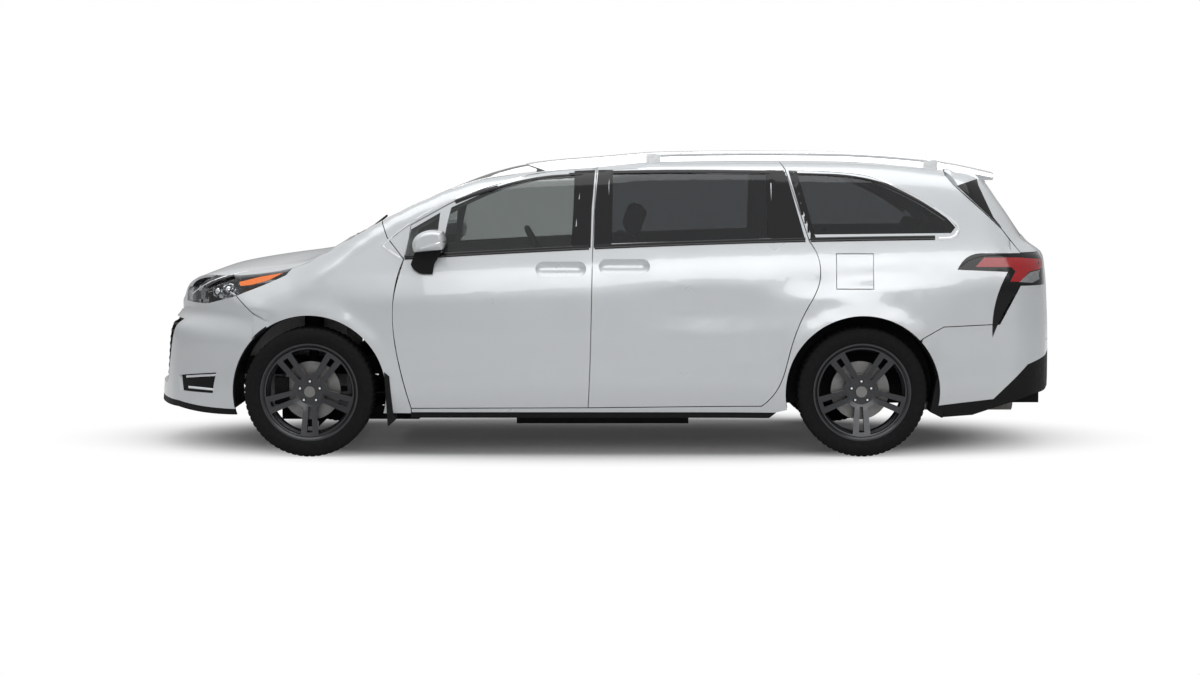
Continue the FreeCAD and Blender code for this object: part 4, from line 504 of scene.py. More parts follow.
def turned(profile, centre, axis, count):
    """A form turned about any axis, from (radius, height) points."""
    side = axis.cross(Vector((0, 0, 1))).normalized()
    other = axis.cross(side).normalized()
    verts = []
    for i in range(count):
        turn = math.tau * i / count
        way = side * math.cos(turn) + other * math.sin(turn)
        verts += [centre + way * radius + axis * height for radius, height in profile]
    return verts, turned_faces(count, len(profile))


# Tyres and wheels

BLOCK_COUNT = 64
RINGS_PER_BLOCK = 4
GROOVE_DEPTH = 0.0075
GROOVE_shares = (-0.52, -0.19, 0.19, 0.52)
GROOVE_WIDTH_share = 0.055
SHOULDER_share = 0.80
CUT_DEPTH_shares = {"block": 0.75, "edge": 0.35}
CUT_SKEW = 0.022
CUT_SKEW_WAVES = 4.0
RIB_HEIGHT = 0.0006
# A wall's points from shoulder to bead: share of the half width, share of the radius, drop in metres, kind.
WALL_ROWS = [
    (0.90, 1.0, 0.004, "edge"), (0.955, 1.0, 0.013, "edge"), (0.985, 1.0, 0.026, "wall"),
    (0.998, 0.90, 0.0, "wall"), (1.0, 0.868, 0.0, "wall"), (0.995, 0.85, 0.0, "rib"),
    (0.975, 0.825, 0.0, "rib"), (0.955, 0.815, 0.0, "rib"), (0.945, 0.80, 0.0, "wall"),
    (0.93, 0.785, 0.0, "wall"), (0.86, 0.765, 0.0, "wall"), (0.845, 0.759, 0.0, "wall"),
    (0.76, 0.706, 0.0, "wall"), (0.55, 0.706, 0.0, "wall"),
]
RIM_FACE_DEPTH = 0.046
LUG_COUNT = 5
LUG_CIRCLE_RADIUS = 0.05715
# Points of the cap and of a nut: radius, and distance outward from the rim's face.
CAP_PROFILE = [(0.0, 0.012), (0.020, 0.0115), (0.0285, 0.0085), (0.0305, 0.003), (0.0305, -0.004)]
NUT_PROFILE = [(0.0, 0.004), (0.0062, 0.004), (0.0085, 0.0015), (0.0095, -0.010), (0.0098, -0.020)]
CAP_SIDES = 48
NUT_SIDES = 6


def outward(corner):
    """The way out from the car along Y, at one wheel."""
    return -1 if "left" in corner else 1


def tyre_outline(half, tread):
    """Points (across, radius, kind) round a tyre's section, from one bead over the tread to the other."""
    floor = tread - GROOVE_DEPTH
    profile = [(-SHOULDER_share * half, tread, "block")]
    for groove in GROOVE_shares:
        near, far = (groove - GROOVE_WIDTH_share) * half, (groove + GROOVE_WIDTH_share) * half
        profile += [(near, tread, "block"), (near, floor, "groove"),
                    (far, floor, "groove"), (far, tread, "block")]
    profile.append((SHOULDER_share * half, tread, "block"))
    wall = [(half * wide, tread * high - drop, kind) for wide, high, drop, kind in WALL_ROWS]
    return [(-y, radius, kind) for y, radius, kind in reversed(wall)] + profile + wall


def tyre(corner):
    """A tyre with grooves, cross cuts and ribbed walls, on the outline of the CAD tyre."""
    centre = hubs[corner]
    side = outward(corner)
    half = tyre_width / 2
    outline = tyre_outline(half, tyre_radius)
    rings = BLOCK_COUNT * RINGS_PER_BLOCK
    verts = []
    for i in range(rings):
        for y, radius, kind in outline:
            turn = math.tau * i / rings
            if kind in CUT_DEPTH_shares:
                turn += CUT_SKEW * math.sin(y / half * CUT_SKEW_WAVES)
                if i % RINGS_PER_BLOCK == 0:
                    radius -= GROOVE_DEPTH * CUT_DEPTH_shares[kind]
            if kind == "rib" and i % 2:
                radius += RIB_HEIGHT
            verts.append(Vector((centre.x + radius * math.cos(turn), centre.y + side * y,
                                 centre.z + radius * math.sin(turn))))
    form = (verts, turned_faces(rings, len(outline), closed=True))
    obj = piece("tread_" + corner, form, rubber, "wheel_%s_body" % corner, TREAD_ANGLE)
    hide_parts("tyre_" + corner)


def wheel_details(corner):
    """Lug nuts and a blank centre cap."""
    centre = hubs[corner]
    side = outward(corner)
    body = "wheel_%s_body" % corner
    low, high = (Vector(v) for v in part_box("rim_" + corner))
    face_out = (high.y - low.y) / 2 - RIM_FACE_DEPTH
    cap = [(radius, face_out + out) for radius, out in CAP_PROFILE]
    nut = [(radius, face_out + out) for radius, out in NUT_PROFILE]
    piece("cap_" + corner, revolved(cap, centre, side, CAP_SIDES), alloy, body)
    nuts = []
    for i in range(LUG_COUNT):
        turn = math.radians(90 + i * 360 / LUG_COUNT)
        at = centre + Vector((LUG_CIRCLE_RADIUS * math.cos(turn), 0, LUG_CIRCLE_RADIUS * math.sin(turn)))
        nuts.append(revolved(nut, at, side, NUT_SIDES))
    piece("lugs_" + corner, joined(*nuts), chrome, body, smooth_angle=NUT_ANGLE)


# Trim round the windows

CHROME_TOP_pixels = [
    (381.5, 245.2), (387, 240.2), (396, 232.8), (409, 223.4), (430, 209.8), (455, 198), (485, 186.6),
    (520, 177.2), (556, 171.4), (592.5, 168.8),
]
CHROME_ROOF_pixels = [(599, 168.4), (660, 167.6), (720, 167.8), (785.5, 169)]
CHROME_QUARTER_pixels = [
    (789, 169.3), (830, 170.6), (867.5, 174.6), (895, 185.6), (925, 201), (951.4, 218.6), (958.6, 225.6),
    (959.6, 230), (957.4, 235), (952.3, 237.6), (940, 238.3),
]
CHROME_LOWER_pixels = [(381.5, 245.2), (390, 251.5), (399, 257.4)]
BELT_FRONT_pixels = [(404, 257.0), (470, 253.0), (530, 249.8), (589, 246.9)]
BELT_SLIDE_pixels = [(594.5, 246.6), (660, 243.8), (730, 241.3), (806, 239.2)]
BELT_REAR_pixels = [(811.5, 239.2), (880, 238), (936, 237.2)]
FRAME_FRONT_pixels = [(455, 201.4), (485, 190.2), (520, 180.6), (556, 174.8), (588, 172.4)]
FRAME_SLIDE_pixels = [(599, 171.8), (660, 170.9), (720, 171), (784, 172)]
FRAME_QUARTER_pixels = [(791, 172.6), (830, 173.9), (866, 177.8), (893, 188.4), (922, 203), (946, 218.6)]
PILLAR_FRONT_pixels = [(574.5, 170.8), (595.2, 169.8), (591.8, 207), (590.6, 247.2), (571, 248.4),
                       (573.5, 206)]
PILLAR_SLIDE_pixels = [(598.4, 169.8), (613, 169.6), (612, 246), (593.6, 247), (594.8, 207)]
PILLAR_REAR_pixels = [(766, 170), (785.6, 170.2), (805.8, 239.2), (768, 240.4)]
PILLAR_QUARTER_pixels = [(788.6, 170.6), (797, 171), (817, 239.4), (809.2, 239.6)]
CORNER_END_pixel = 409.5
DOOR_START_pixel = 412.0
CHROME_WIDTH = 0.011
CHROME_RISE = 0.0035
CHROME_STEP_pixels = 4.0
TAIL_GROWTH = 0.018
TAIL_START_share = 0.55
TIP_START_share = 0.93
TIP_GROWTH_share = 0.6
BELT_WIDTH = 0.026
BELT_RISE = 0.0045
BELT_STEP_pixels = 6.0
FRAME_WIDTH = 0.024
FRAME_RISE = 0.0030
FRAME_STEP_pixels = 5.0
PANEL_RISE = 0.0030


def quarter_width(t):
    """The quarter window's chrome widens toward its rear end, and less so at its tip."""
    growth = TAIL_GROWTH * max(0.0, t - TAIL_START_share)
    return CHROME_WIDTH + growth * (1 if t < TIP_START_share else TIP_GROWTH_share)


# A kind of strip: its width, rise, look and the step between its points.
CHROME_STRIP = (CHROME_WIDTH, CHROME_RISE, chrome, CHROME_STEP_pixels)
QUARTER_STRIP = (quarter_width, CHROME_RISE, chrome, CHROME_STEP_pixels)
BELT_STRIP = (BELT_WIDTH, BELT_RISE, black_gloss, BELT_STEP_pixels)
FRAME_STRIP = (FRAME_WIDTH, FRAME_RISE, black_gloss, FRAME_STEP_pixels)
STRIPS = (
    ("chrome_roof", CHROME_ROOF_pixels, CHROME_STRIP, MAIN),
    ("chrome_quarter", CHROME_QUARTER_pixels, QUARTER_STRIP, MAIN),
    ("chrome_lower", CHROME_LOWER_pixels, CHROME_STRIP, MAIN),
    ("belt_front", BELT_FRONT_pixels, BELT_STRIP, LEFT_DOOR),
    ("belt_slide", BELT_SLIDE_pixels, BELT_STRIP, MAIN),
    ("belt_rear", BELT_REAR_pixels, BELT_STRIP, MAIN),
    ("frame_front", FRAME_FRONT_pixels, FRAME_STRIP, LEFT_DOOR),
    ("frame_slide", FRAME_SLIDE_pixels, FRAME_STRIP, MAIN),
    ("frame_quarter", FRAME_QUARTER_pixels, FRAME_STRIP, MAIN),
)
PILLARS = (
    ("pillar_front", PILLAR_FRONT_pixels, LEFT_DOOR), ("pillar_slide", PILLAR_SLIDE_pixels, MAIN),
    ("pillar_rear", PILLAR_REAR_pixels, MAIN), ("pillar_quarter", PILLAR_QUARTER_pixels, MAIN),
)


def window_trim():
    """Chrome over the windows, black mouldings under them, black frames and pillars between them."""
    top = smooth_points(CHROME_TOP_pixels, CHROME_STEP_pixels)
    corner_path = [p for p in top if p.x < CORNER_END_pixel]
    door_path = [p for p in top if p.x >= DOOR_START_pixel]
    sided("chrome_corner", ribbon(corner_path, CHROME_WIDTH, CHROME_RISE), chrome)
    sided("chrome_pillar", ribbon(door_path, CHROME_WIDTH, CHROME_RISE), chrome, LEFT_DOOR)
    for name, points, (width, rise, look, step), body in STRIPS:
        sided(name, ribbon(smooth_points(points, step), width, rise), look, body)
    for name, outline, body in PILLARS:
        sided(name, patch(outline, PANEL_RISE), black_gloss, body)


# Lamps and other bright trim

AMBER_pixels = [(237.8, 281.6), (260, 276.2), (281.7, 272.5), (268, 279.5), (250, 284.6), (238.7, 285.6)]
LAMP_BACK_pixels = [(187, 303.5), (190, 292), (208.5, 279), (239.5, 269.6), (287, 265.6), (280, 274),
                    (231, 294), (200, 303.2)]
LAMP_EDGE_pixels = [(190.5, 293), (205, 283.2), (222, 276.2), (246, 270.4), (270, 267.4), (287, 265.9)]
LAMP_MASK_pixels = [(207, 286), (222, 279.6), (246, 273.6), (272, 270)]
LAMP_STEP_pixels = 4.0
LAMP_BACK_STEP_pixels = 3.5
LAMP_DEPTH = 0.034
LAMP_BACK_THICKNESS = 0.003
LAMP_MASK_WIDTH = 0.022
LAMP_MASK_RISE = -0.012
LAMP_EDGE_WIDTH = 0.007
LAMP_EDGE_RISE = 0.0012
AMBER_RISE = 0.0009
PROJECTOR_pixels = ((212, 291.5), (225.5, 284.6))
PROJECTOR_RADIUS = 0.030
PROJECTOR_LIFT = 0.008
PROJECTOR_SIDES = 40
PROJECTOR_shares = [(0.0, 0.55), (0.45, 0.47), (0.78, 0.22), (0.95, -0.1), (1.04, -0.1), (1.04, 0.2),
                    (1.16, 0.2), (1.22, -0.5)]
RED_BAR_pixels = [(977, 266.4), (985.5, 257), (1020, 257), (1042, 258.5), (1044, 268), (1031, 271),
                  (1022, 281.2), (1012, 281.2), (1017, 271), (1013, 266.6)]
REFLECTOR_pixels = [(1020.8, 281.6), (1031.5, 271.8), (1044, 269), (1044, 277), (1034, 282.4)]
TAIL_EDGE_pixels = [(962, 266.5), (970, 260.2), (985, 255.6), (1010, 254.9)]
TAIL_EDGE_WIDTH = 0.003
TAIL_EDGE_RISE = 0.001
LENS_RISE = 0.0012
GATE_SIDE_pixels = [(957.6, 185.2), (977, 178.6), (978.4, 184.6), (986, 200.5), (994, 216.8),
                    (1002.2, 226.8)]
GATE_STEP_pixels = 2.5
STRIPE_pixels = [(419.5, 247.6), (427, 245.6), (437, 242.8), (446.8, 240.2)]
STRIPE_STEP_pixels = 2.0
STRIPE_WIDTH = 0.009
STRIPE_RISE = 0.0015
DUCT_pixels = {
    "duct_upper": [(183.5, 376.8), (198, 375.9), (213.2, 375.2)],
    "duct_lower": [(185.6, 387.6), (198, 388.8), (211.4, 390.2)],
}
DUCT_STEP_pixels = 2.5
DUCT_BAR_WIDTH = 0.013
DUCT_BAR_RISE = 0.003


def headlamp_details():
    """Reflector, dark mask, bright edge, projectors and amber lens, behind and on the clear cover."""
    lens = trees("headlamps")
    back = patch(LAMP_BACK_pixels, -LAMP_DEPTH, LAMP_BACK_STEP_pixels, lens, LAMP_DEPTH + LAMP_BACK_THICKNESS)
    sided("lamp_reflector", back, lamp_bowl)
    mask_path = smooth_points(LAMP_MASK_pixels, LAMP_STEP_pixels)
    sided("lamp_mask", ribbon(mask_path, LAMP_MASK_WIDTH, LAMP_MASK_RISE, lens), black_gloss)
    edge_path = smooth_points(LAMP_EDGE_pixels, LAMP_STEP_pixels)
    sided("lamp_edge", ribbon(edge_path, LAMP_EDGE_WIDTH, LAMP_EDGE_RISE), chrome)
    profile = [(r * PROJECTOR_RADIUS, h * PROJECTOR_RADIUS) for r, h in PROJECTOR_shares]
    projectors = []
    for px, py in PROJECTOR_pixels:
        point, normal = on_skin(px, py, lens)
        centre = point - normal * (LAMP_DEPTH - PROJECTOR_LIFT)
        projectors.append(turned(profile, centre, normal, PROJECTOR_SIDES))
    sided("lamp_projectors", joined(*projectors), chrome)
    sided("lamp_amber", patch(AMBER_pixels, AMBER_RISE), amber)


def tail_details():
    """Red and clear fields on the black tail lamps, and the tailgate window's black side."""
    lens = trees("tail_lamps")
    sided("tail_red", patch(RED_BAR_pixels, LENS_RISE, tree=lens), lens_red)
    sided("tail_clear", patch(REFLECTOR_pixels, LENS_RISE, tree=lens), lamp_bowl)
    edge_path = smooth_points(TAIL_EDGE_pixels, LAMP_STEP_pixels)
    sided("tail_edge", ribbon(edge_path, TAIL_EDGE_WIDTH, TAIL_EDGE_RISE, lens), black_plastic)
    side = patch(GATE_SIDE_pixels, PANEL_RISE, GATE_STEP_pixels, trees("tailgate", "rear_window"))
    piece("gate_side", joined(side, mirrored(side)), black_gloss, TAILGATE)


def bright_details():
    """The mirrors' bright stripe and the bars round the front ducts."""
    stripe_path = smooth_points(STRIPE_pixels, STRIPE_STEP_pixels)
    stripe = ribbon(stripe_path, STRIPE_WIDTH, STRIPE_RISE, trees("mirror_left"))
    sided("mirror_stripe", stripe, chrome, LEFT_DOOR)
    front = trees("front_bumper", "grilles")
    for name, points in DUCT_pixels.items():
        bar = ribbon(straight_points(points, DUCT_STEP_pixels), DUCT_BAR_WIDTH, DUCT_BAR_RISE, front)
        sided(name, bar, chrome)


# Seats

SEAT_WIDTH = 0.520
SEAT_DEPTH = 0.520
SEAT_BASE_HEIGHT = 0.150
SEAT_BACK_HEIGHT = 0.640
SEAT_BACK_THICKNESS = 0.130
SEAT_TILT = math.radians(20)
CUSHION_SETBACK = 0.02
REST_SIZE = (0.170, 0.270, 0.100)
REST_GAP = 0.020
STEM_RADIUS = 0.006
STEM_SIDES = 16
STEM_LENGTH_share = 0.75
PAD_ROUND = 0.034
PAD_CROWN = 0.014
PAD_PULL = 0.010
PAD_BOLSTER = 0.016
PAD_COUNTS = (12, 12, 6)
CROWN_POWER = 4
BOLSTER_POWER = 6
BOLSTER_share = 0.60
BENCH_BOLSTER_share = 0.36
BOLSTER_SLOPE_share = 0.2
HOLLOW_share = 0.3
HOLLOW_SLOPE_share = 0.1
SEAM_DEPTH = 0.0045
SEAM_WIDTH_share = 0.022
SEAM_LINES = (-2, -1, 0, 1, 2)
SEAM_CLEAR_share = 1.2
EDGE_LINE_shares = (0, 0.2, 0.45, 0.75, 1.0)
WELT_share = 0.3
WELT_WIDTH_share = 0.09
CUSHION_SEAM_shares = (-0.35, 0.05, 0.45)
BACK_SEAM_shares = (-0.45, -0.1, 0.25, 0.6)
REST_SEAM_shares = (0.1,)
LEG_PLACE_share = 0.3
LEG_SIZE = (0.05, 0.03)
LEG_OVERLAP = 0.01
RAIL_SIZE = (0.045, 0.038)
RAIL_INSET = 0.08
RAIL_LIFT = 0.02
CROSS_SIZE = (0.03, 0.022)
CROSS_INSET = 0.10
CROSS_DROP = 0.012


def grid_lines(count, half, seams):
    """Places from -1 to 1, closer together at seams and at the rounded edges."""
    width = SEAM_WIDTH_share
    near = [s + k * width for s in seams for k in SEAM_LINES]
    edge = [1 - k * PAD_ROUND / half for k in EDGE_LINE_shares]
    fixed = near + edge + [-v for v in edge]
    plain = [2 * i / count - 1 for i in range(1, count)]
    plain = [v for v in plain if all(abs(v - f) > SEAM_CLEAR_share * width for f in fixed)]
    return sorted(set(round(v, 5) for v in fixed + plain))


def eased(low, high, value):
    """0 below low, 1 above high and a soft slope between them."""
    t = min(1.0, max(0.0, (value - low) / (high - low)))
    return t * t * (3 - 2 * t)


def channel(offset, width):
    """How deep a sewn channel is at an offset from its line, from 0 to 1."""
    return math.exp(-(offset / width) ** 2)


def pad_point(along, across, up, half, cross_seams, side_seams):
    """One point of a crowned pad with bolsters and sewn channels, from its place on a box."""
    inner = [h - PAD_ROUND for h in half]
    flat = [along * half[0], across * half[1], up * half[2]]
    core = Vector([min(i, max(-i, f)) for i, f in zip(inner, flat)])
    way = (Vector(flat) - core).normalized()
    side = 1.0 - abs(way.z)
    lift = PAD_CROWN * (1 - along ** CROWN_POWER) * (1 - across ** CROWN_POWER)
    for seam in side_seams:
        lift -= SEAM_DEPTH * channel(abs(across) - seam, SEAM_WIDTH_share)
    if side_seams:
        rise = eased(BOLSTER_share, BOLSTER_share + BOLSTER_SLOPE_share, abs(across))
        hollow = 1 - eased(BOLSTER_share - HOLLOW_SLOPE_share, BOLSTER_share, abs(across))
        lift += PAD_BOLSTER * rise * (1 - across ** BOLSTER_POWER)
        lift -= PAD_BOLSTER * HOLLOW_share * hollow
    if abs(across) < BOLSTER_share or not side_seams:
        for seam in cross_seams:
            lift -= SEAM_DEPTH * channel(along - seam, SEAM_WIDTH_share)
    point = core + way * PAD_ROUND + Vector((0, 0, lift * max(0.0, way.z)))
    welt = SEAM_DEPTH * channel(up - WELT_share, WELT_WIDTH_share) * side
    pull = PAD_PULL * side * (1 - (along if abs(way.y) > abs(way.x) else across) ** 2)
    return point - Vector((way.x, way.y, 0)) * (welt + pull)


def pad(centre, axes, half, cross_seams=(), side_seams=()):
    """A stuffed pad: axes are its long, cross and sitting directions."""
    room = (half[0], half[1], half[2] - PAD_CROWN / 2 - (PAD_BOLSTER / 3 if side_seams else 0))
    seams = (cross_seams, [s * k for s in side_seams for k in (-1, 1)], (WELT_share,))
    rows = [grid_lines(*values) for values in zip(PAD_COUNTS, room, seams)]
    verts, faces, index = [], [], {}

    def place(at):
        if at not in index:
            index[at] = len(verts)
            shares = [row[k] for row, k in zip(rows, at)]
            local = pad_point(*shares, room, cross_seams, side_seams)
            verts.append(centre + axes[0] * local.x + axes[1] * local.y + axes[2] * (local.z - PAD_CROWN / 2))
        return index[at]

    for fixed in range(3):
        one, two = [k for k in range(3) if k != fixed]
        for end in (0, len(rows[fixed]) - 1):
            for i in range(len(rows[one]) - 1):
                for k in range(len(rows[two]) - 1):
                    corners = []
                    for di, dk in ((0, 0), (1, 0), (1, 1), (0, 1)):
                        at = [0, 0, 0]
                        at[fixed], at[one], at[two] = end, i + di, k + dk
                        corners.append(place(tuple(at)))
                    faces.append(corners)
    return verts, faces


def seat(node, count, width):
    """Pads and frames of one row of seats, in the space of their CAD solids."""
    low, high = (Vector(v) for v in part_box(node))
    tall = SEAT_BACK_HEIGHT + REST_GAP + REST_SIZE[0]
    up = Vector((math.sin(SEAT_TILT), 0, math.cos(SEAT_TILT)))
    front = Vector((-math.cos(SEAT_TILT), 0, math.sin(SEAT_TILT)))
    across = Vector((0, 1, 0))
    pivot_z = high.z - tall * math.cos(SEAT_TILT) - REST_SIZE[2] / 2 * math.sin(SEAT_TILT)
    foot = pivot_z - SEAT_BASE_HEIGHT / 2
    spread = (high.y - low.y - width) / 2
    side = (BOLSTER_share,) if count == 2 else (BENCH_BOLSTER_share,)
    back_start = SEAT_BASE_HEIGHT / 2
    pads, frames, stems = [], [], []
    for y in ([-spread, spread] if count == 2 else [0.0]):
        pivot = Vector((low.x + SEAT_DEPTH, y, pivot_z))
        cushion_middle = Vector((low.x + SEAT_DEPTH / 2, y, pivot_z)) - Vector((CUSHION_SETBACK, 0, 0))
        pads.append(pad(cushion_middle, (Vector((1, 0, 0)), across, Vector((0, 0, 1))),
                        (SEAT_DEPTH / 2 - CUSHION_SETBACK, width / 2, SEAT_BASE_HEIGHT / 2),
                        CUSHION_SEAM_shares, side))
        pads.append(pad(pivot + up * ((SEAT_BACK_HEIGHT + back_start) / 2), (up, across, front),
                        ((SEAT_BACK_HEIGHT - back_start) / 2, width / 2, SEAT_BACK_THICKNESS / 2),
                        BACK_SEAM_shares, side))
        rest = pivot + up * (SEAT_BACK_HEIGHT + REST_GAP + REST_SIZE[0] / 2)
        pads.append(pad(rest, (up, across, front), tuple(v / 2 for v in REST_SIZE), REST_SEAM_shares))
        for dy in (-LEG_PLACE_share * width, LEG_PLACE_share * width):
            stem_top = rest + across * (dy * REST_SIZE[1] / width)
            stem_foot = stem_top - up * (REST_SIZE[0] * STEM_LENGTH_share)
            stems.append(swept([stem_foot, stem_top], STEM_RADIUS, STEM_SIDES))
            aside = Vector((0, dy, 0))
            one = Vector((low.x + RAIL_INSET, y, low.z + RAIL_LIFT)) + aside
            two = Vector((low.x + SEAT_DEPTH - RAIL_INSET, y, low.z + RAIL_LIFT)) + aside
            frames.append(beam(one, two, *RAIL_SIZE))
            for at in (one, two):
                frames.append(beam(at, Vector((at.x, at.y, foot + LEG_OVERLAP)), *LEG_SIZE))
        ends = [Vector((low.x + CROSS_INSET, y + k * LEG_PLACE_share * width, foot - CROSS_DROP))
                for k in (-1, 1)]
        frames.append(beam(*ends, *CROSS_SIZE))
    name = node[:-1]
    cushions = piece(name + "_pads", joined(*pads), cloth, MAIN, CUSHION_ANGLE)
    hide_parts(node)
    piece(name + "_frames", joined(*frames), chassis, MAIN)
    piece(name + "_stems", joined(*stems), chrome, MAIN)


# Headliner and front arch

LINING_COLUMNS = 40
LINING_ROWS = 22
LINING_FRONT_INSET = 0.06
LINING_BOTH_INSETS = 0.16
LINING_SIDE_INSET = 0.06
LINING_SEARCH_DEPTH = 0.4
LINING_GAP = 0.006
LINING_THICKNESS = 0.003
ARCH_CORNER_pixels = ((249.5, 313.2), (268, 323.8), (250, 337.5))
ARCH_CORNER_STEPS = 10
ARCH_CORNER_INSET = 0.0015
ARCH_CORNER_THICKNESS = 0.002


def headliner():
    """A lining just under the roof."""
    tree = trees("roof_panel")
    low, high = (Vector(v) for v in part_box("roof_panel"))
    verts, index = [], {}
    for i in range(LINING_COLUMNS + 1):
        x = low.x + LINING_FRONT_INSET + (high.x - low.x - LINING_BOTH_INSETS) * i / LINING_COLUMNS
        for k in range(LINING_ROWS + 1):
            y = low.y + LINING_SIDE_INSET + (high.y - low.y - 2 * LINING_SIDE_INSET) * k / LINING_ROWS
            start = Vector((x, y, low.z - LINING_SEARCH_DEPTH))
            point, _, _, _ = tree.ray_cast(start, Vector((0, 0, 1)))
            if point is not None:
                index[i, k] = len(verts)
                verts.append(point - Vector((0, 0, LINING_GAP)))
    faces = []
    for i in range(LINING_COLUMNS):
        for k in range(LINING_ROWS):
            corners = [(i, k), (i + 1, k), (i + 1, k + 1), (i, k + 1)]
            if all(c in index for c in corners):
                faces.append([index[c] for c in corners])
    piece("headliner", solid_sheet(verts, faces, LINING_THICKNESS), trim, MAIN)


def arch_corner():
    """The painted lip that closes the corner between the bumper, the fender and the wheel arch."""
    top, back, foot = [on_skin(*at)[0] for at in ARCH_CORNER_pixels]
    centre = hubs["front_left"]
    radius = min((p - centre).xz.length for p in (back, foot))
    inset = Vector((0, ARCH_CORNER_INSET, 0))
    steps = ARCH_CORNER_STEPS
    verts = []
    for i in range(steps + 1):
        start = top + (back - top) * (i / steps)
        edge = foot + (back - foot) * (i / steps)
        way = (Vector((edge.x, 0, edge.z)) - Vector((centre.x, 0, centre.z))).normalized()
        rim = Vector((centre.x, edge.y, centre.z)) + way * radius
        verts += [start + (rim - start) * (k / steps) + inset for k in range(steps + 1)]
    wide = steps + 1
    faces = [[i * wide + k, i * wide + k + 1, (i + 1) * wide + k + 1, (i + 1) * wide + k]
             for i in range(steps) for k in range(steps)]
    sided("arch_corner", solid_sheet(verts, faces, ARCH_CORNER_THICKNESS), paint)


# Stage, light and camera

WORLD_LOW = (0.34, 0.345, 0.35, 1)
WORLD_HIGH = (0.86, 0.87, 0.88, 1)
WORLD_HIGH_share = 0.55
WHITE = (1, 1, 1, 1)
FLOOR_HALF = 60
FLOOR_COLOUR = (0.60, 0.60, 0.60, 1)
# To the camera the floor is painted darker toward the car, a painted shade shaped round the car: it is full
# inside PAINTED_SHADE_NEAR, where the real shadows show in it, and gone from PAINTED_SHADE_FAR on, where the
# floor is white. Both are distances from the car's middle, with those along X shortened by
# PAINTED_SHADE_SHAPE.
PAINTED_SHADE_NEAR = 0.86
PAINTED_SHADE_FAR = 1.48
FLOOR_GLOW_share = 0.04
PAINTED_SHADE_SHAPE = (0.44, 1.0, 1.0)
# Name, place, size and watts of each lamp, and the point that all of them face.
LAMPS = (
    ("top", (0.0, -1.5, 6.5), (9.0, 5.0), 235.0),
    ("left", (1.6, -8.5, 3.4), (7.0, 2.6), 165.0),
    ("right", (1.5, 8.5, 4.2), (8.0, 3.0), 160.0),
)
LAMP_AIM = (0, 0, 0.6)


def surroundings(scene):
    """A grey studio that lights the car, and plain white where the camera sees it."""
    world = bpy.data.worlds.new("studio")
    scene.world = world
    world.use_nodes = True
    tree = world.node_tree
    background = tree.nodes["Background"]
    background.inputs["Strength"].default_value = 1.0
    place = tree.nodes.new("ShaderNodeTexCoord")
    split = tree.nodes.new("ShaderNodeSeparateXYZ")
    ramp = tree.nodes.new("ShaderNodeValToRGB")
    stops = ramp.color_ramp.elements
    stops[0].position, stops[0].color = 0.0, WORLD_LOW
    stops[1].position, stops[1].color = WORLD_HIGH_share, WORLD_HIGH
    light = tree.nodes.new("ShaderNodeLightPath")
    mix = tree.nodes.new("ShaderNodeMix")
    mix.data_type = "RGBA"
    mix.inputs["B"].default_value = WHITE
    connect(tree, (place, "Generated", split, "Vector"), (split, "Z", ramp, "Fac"),
            (light, "Is Camera Ray", mix, "Factor"), (ramp, "Color", mix, "A"),
            (mix, "Result", background, "Color"))


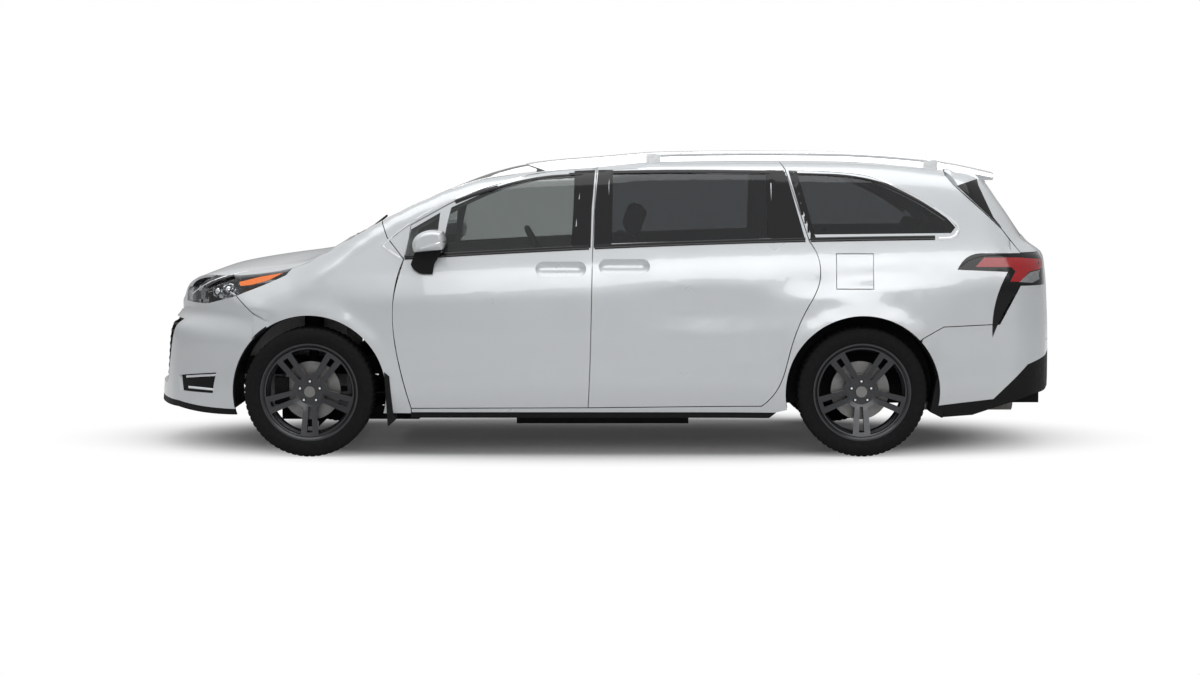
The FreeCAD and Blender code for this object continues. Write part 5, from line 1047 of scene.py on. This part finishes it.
def white_floor_with_painted_shade(scene):
    """A floor that takes the car's shadow, is painted darker toward the car as a painted shade, and fades
    into white round it.
    """
    corners = [Vector((x * FLOOR_HALF, y * FLOOR_HALF, 0)) for x, y in ((-1, -1), (1, -1), (1, 1), (-1, 1))]
    floor_mesh = mesh_of("floor", corners, [[0, 1, 2, 3]])
    floor = bpy.data.objects.new("floor", floor_mesh)
    scene.collection.objects.link(floor)
    look = bpy.data.materials.new("floor_white_painted_shade")
    look.use_nodes = True
    tree = look.node_tree
    tree.nodes.remove(tree.nodes["Principled BSDF"])
    out = tree.nodes["Material Output"]
    diffuse = add_node(tree, "ShaderNodeBsdfDiffuse", Color=FLOOR_COLOUR)
    glow = add_node(tree, "ShaderNodeEmission", Color=WHITE, Strength=1.0)
    path = tree.nodes.new("ShaderNodeLightPath")
    factor = tree.nodes.new("ShaderNodeMath")
    factor.operation = "MULTIPLY"
    place = tree.nodes.new("ShaderNodeTexCoord")
    squeeze = tree.nodes.new("ShaderNodeVectorMath")
    squeeze.operation = "MULTIPLY"
    squeeze.inputs[1].default_value = PAINTED_SHADE_SHAPE
    reach = tree.nodes.new("ShaderNodeVectorMath")
    reach.operation = "LENGTH"
    # Painted shade: the floor's white glow drops toward the car, so near it the floor is darker under any
    # light.
    painted_shade = tree.nodes.new("ShaderNodeMapRange")
    painted_shade.inputs["From Min"].default_value = PAINTED_SHADE_NEAR
    painted_shade.inputs["From Max"].default_value = PAINTED_SHADE_FAR
    painted_shade.inputs["To Min"].default_value = FLOOR_GLOW_share
    painted_shade.inputs["To Max"].default_value = 1.0
    painted_shade.interpolation_type = "SMOOTHSTEP"
    blend = tree.nodes.new("ShaderNodeMixShader")
    connect(tree, (place, "Object", squeeze, 0), (squeeze, "Vector", reach, 0),
            (reach, "Value", painted_shade, "Value"), (path, "Is Camera Ray", factor, 0),
            (painted_shade, "Result", factor, 1), (factor, "Value", blend, "Fac"),
            (diffuse, "BSDF", blend, 1), (glow, "Emission", blend, 2), (blend, "Shader", out, "Surface"))
    floor_mesh.materials.append(look)


def stage_and_light():
    """White floor with a painted shade round the car, surroundings, soft lamps, and the camera of the
    photograph.
    """
    scene = bpy.context.scene
    surroundings(scene)
    white_floor_with_painted_shade(scene)
    for name, where, size, power in LAMPS:
        data = bpy.data.lights.new(name, "AREA")
        data.shape = "RECTANGLE"
        data.size, data.size_y = size
        data.energy = power
        lamp = bpy.data.objects.new("light_" + name, data)
        lamp.location = where
        lamp.rotation_euler = (Vector(LAMP_AIM) - Vector(where)).to_track_quat("-Z", "Y").to_euler()
        scene.collection.objects.link(lamp)

    camera = bpy.data.objects.new("camera", bpy.data.cameras.new("camera"))
    camera.data.sensor_width = SENSOR_MM
    drop = math.atan((PICTURE_HEIGHT_pixels / 2 - EYE_LEVEL_pixel) / FOCAL_pixels)
    camera.data.lens = FOCAL_pixels * math.cos(drop) / PICTURE_WIDTH_pixels * SENSOR_MM
    camera.location = eye
    camera.rotation_euler = (math.radians(90) - drop, 0, 0)
    scene.collection.objects.link(camera)
    scene.camera = camera
    scene.view_settings.view_transform = "Standard"


dress_cad()
for corner in CORNERS:
    tyre(corner)
    wheel_details(corner)
window_trim()
headlamp_details()
tail_details()
bright_details()
seat("front_seats", 2, SEAT_WIDTH)
seat("middle_seats", 2, SEAT_WIDTH)
rear_low, rear_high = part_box("rear_seats")
seat("rear_seats", 1, rear_high[1] - rear_low[1])
headliner()
arch_corner()
stage_and_light()
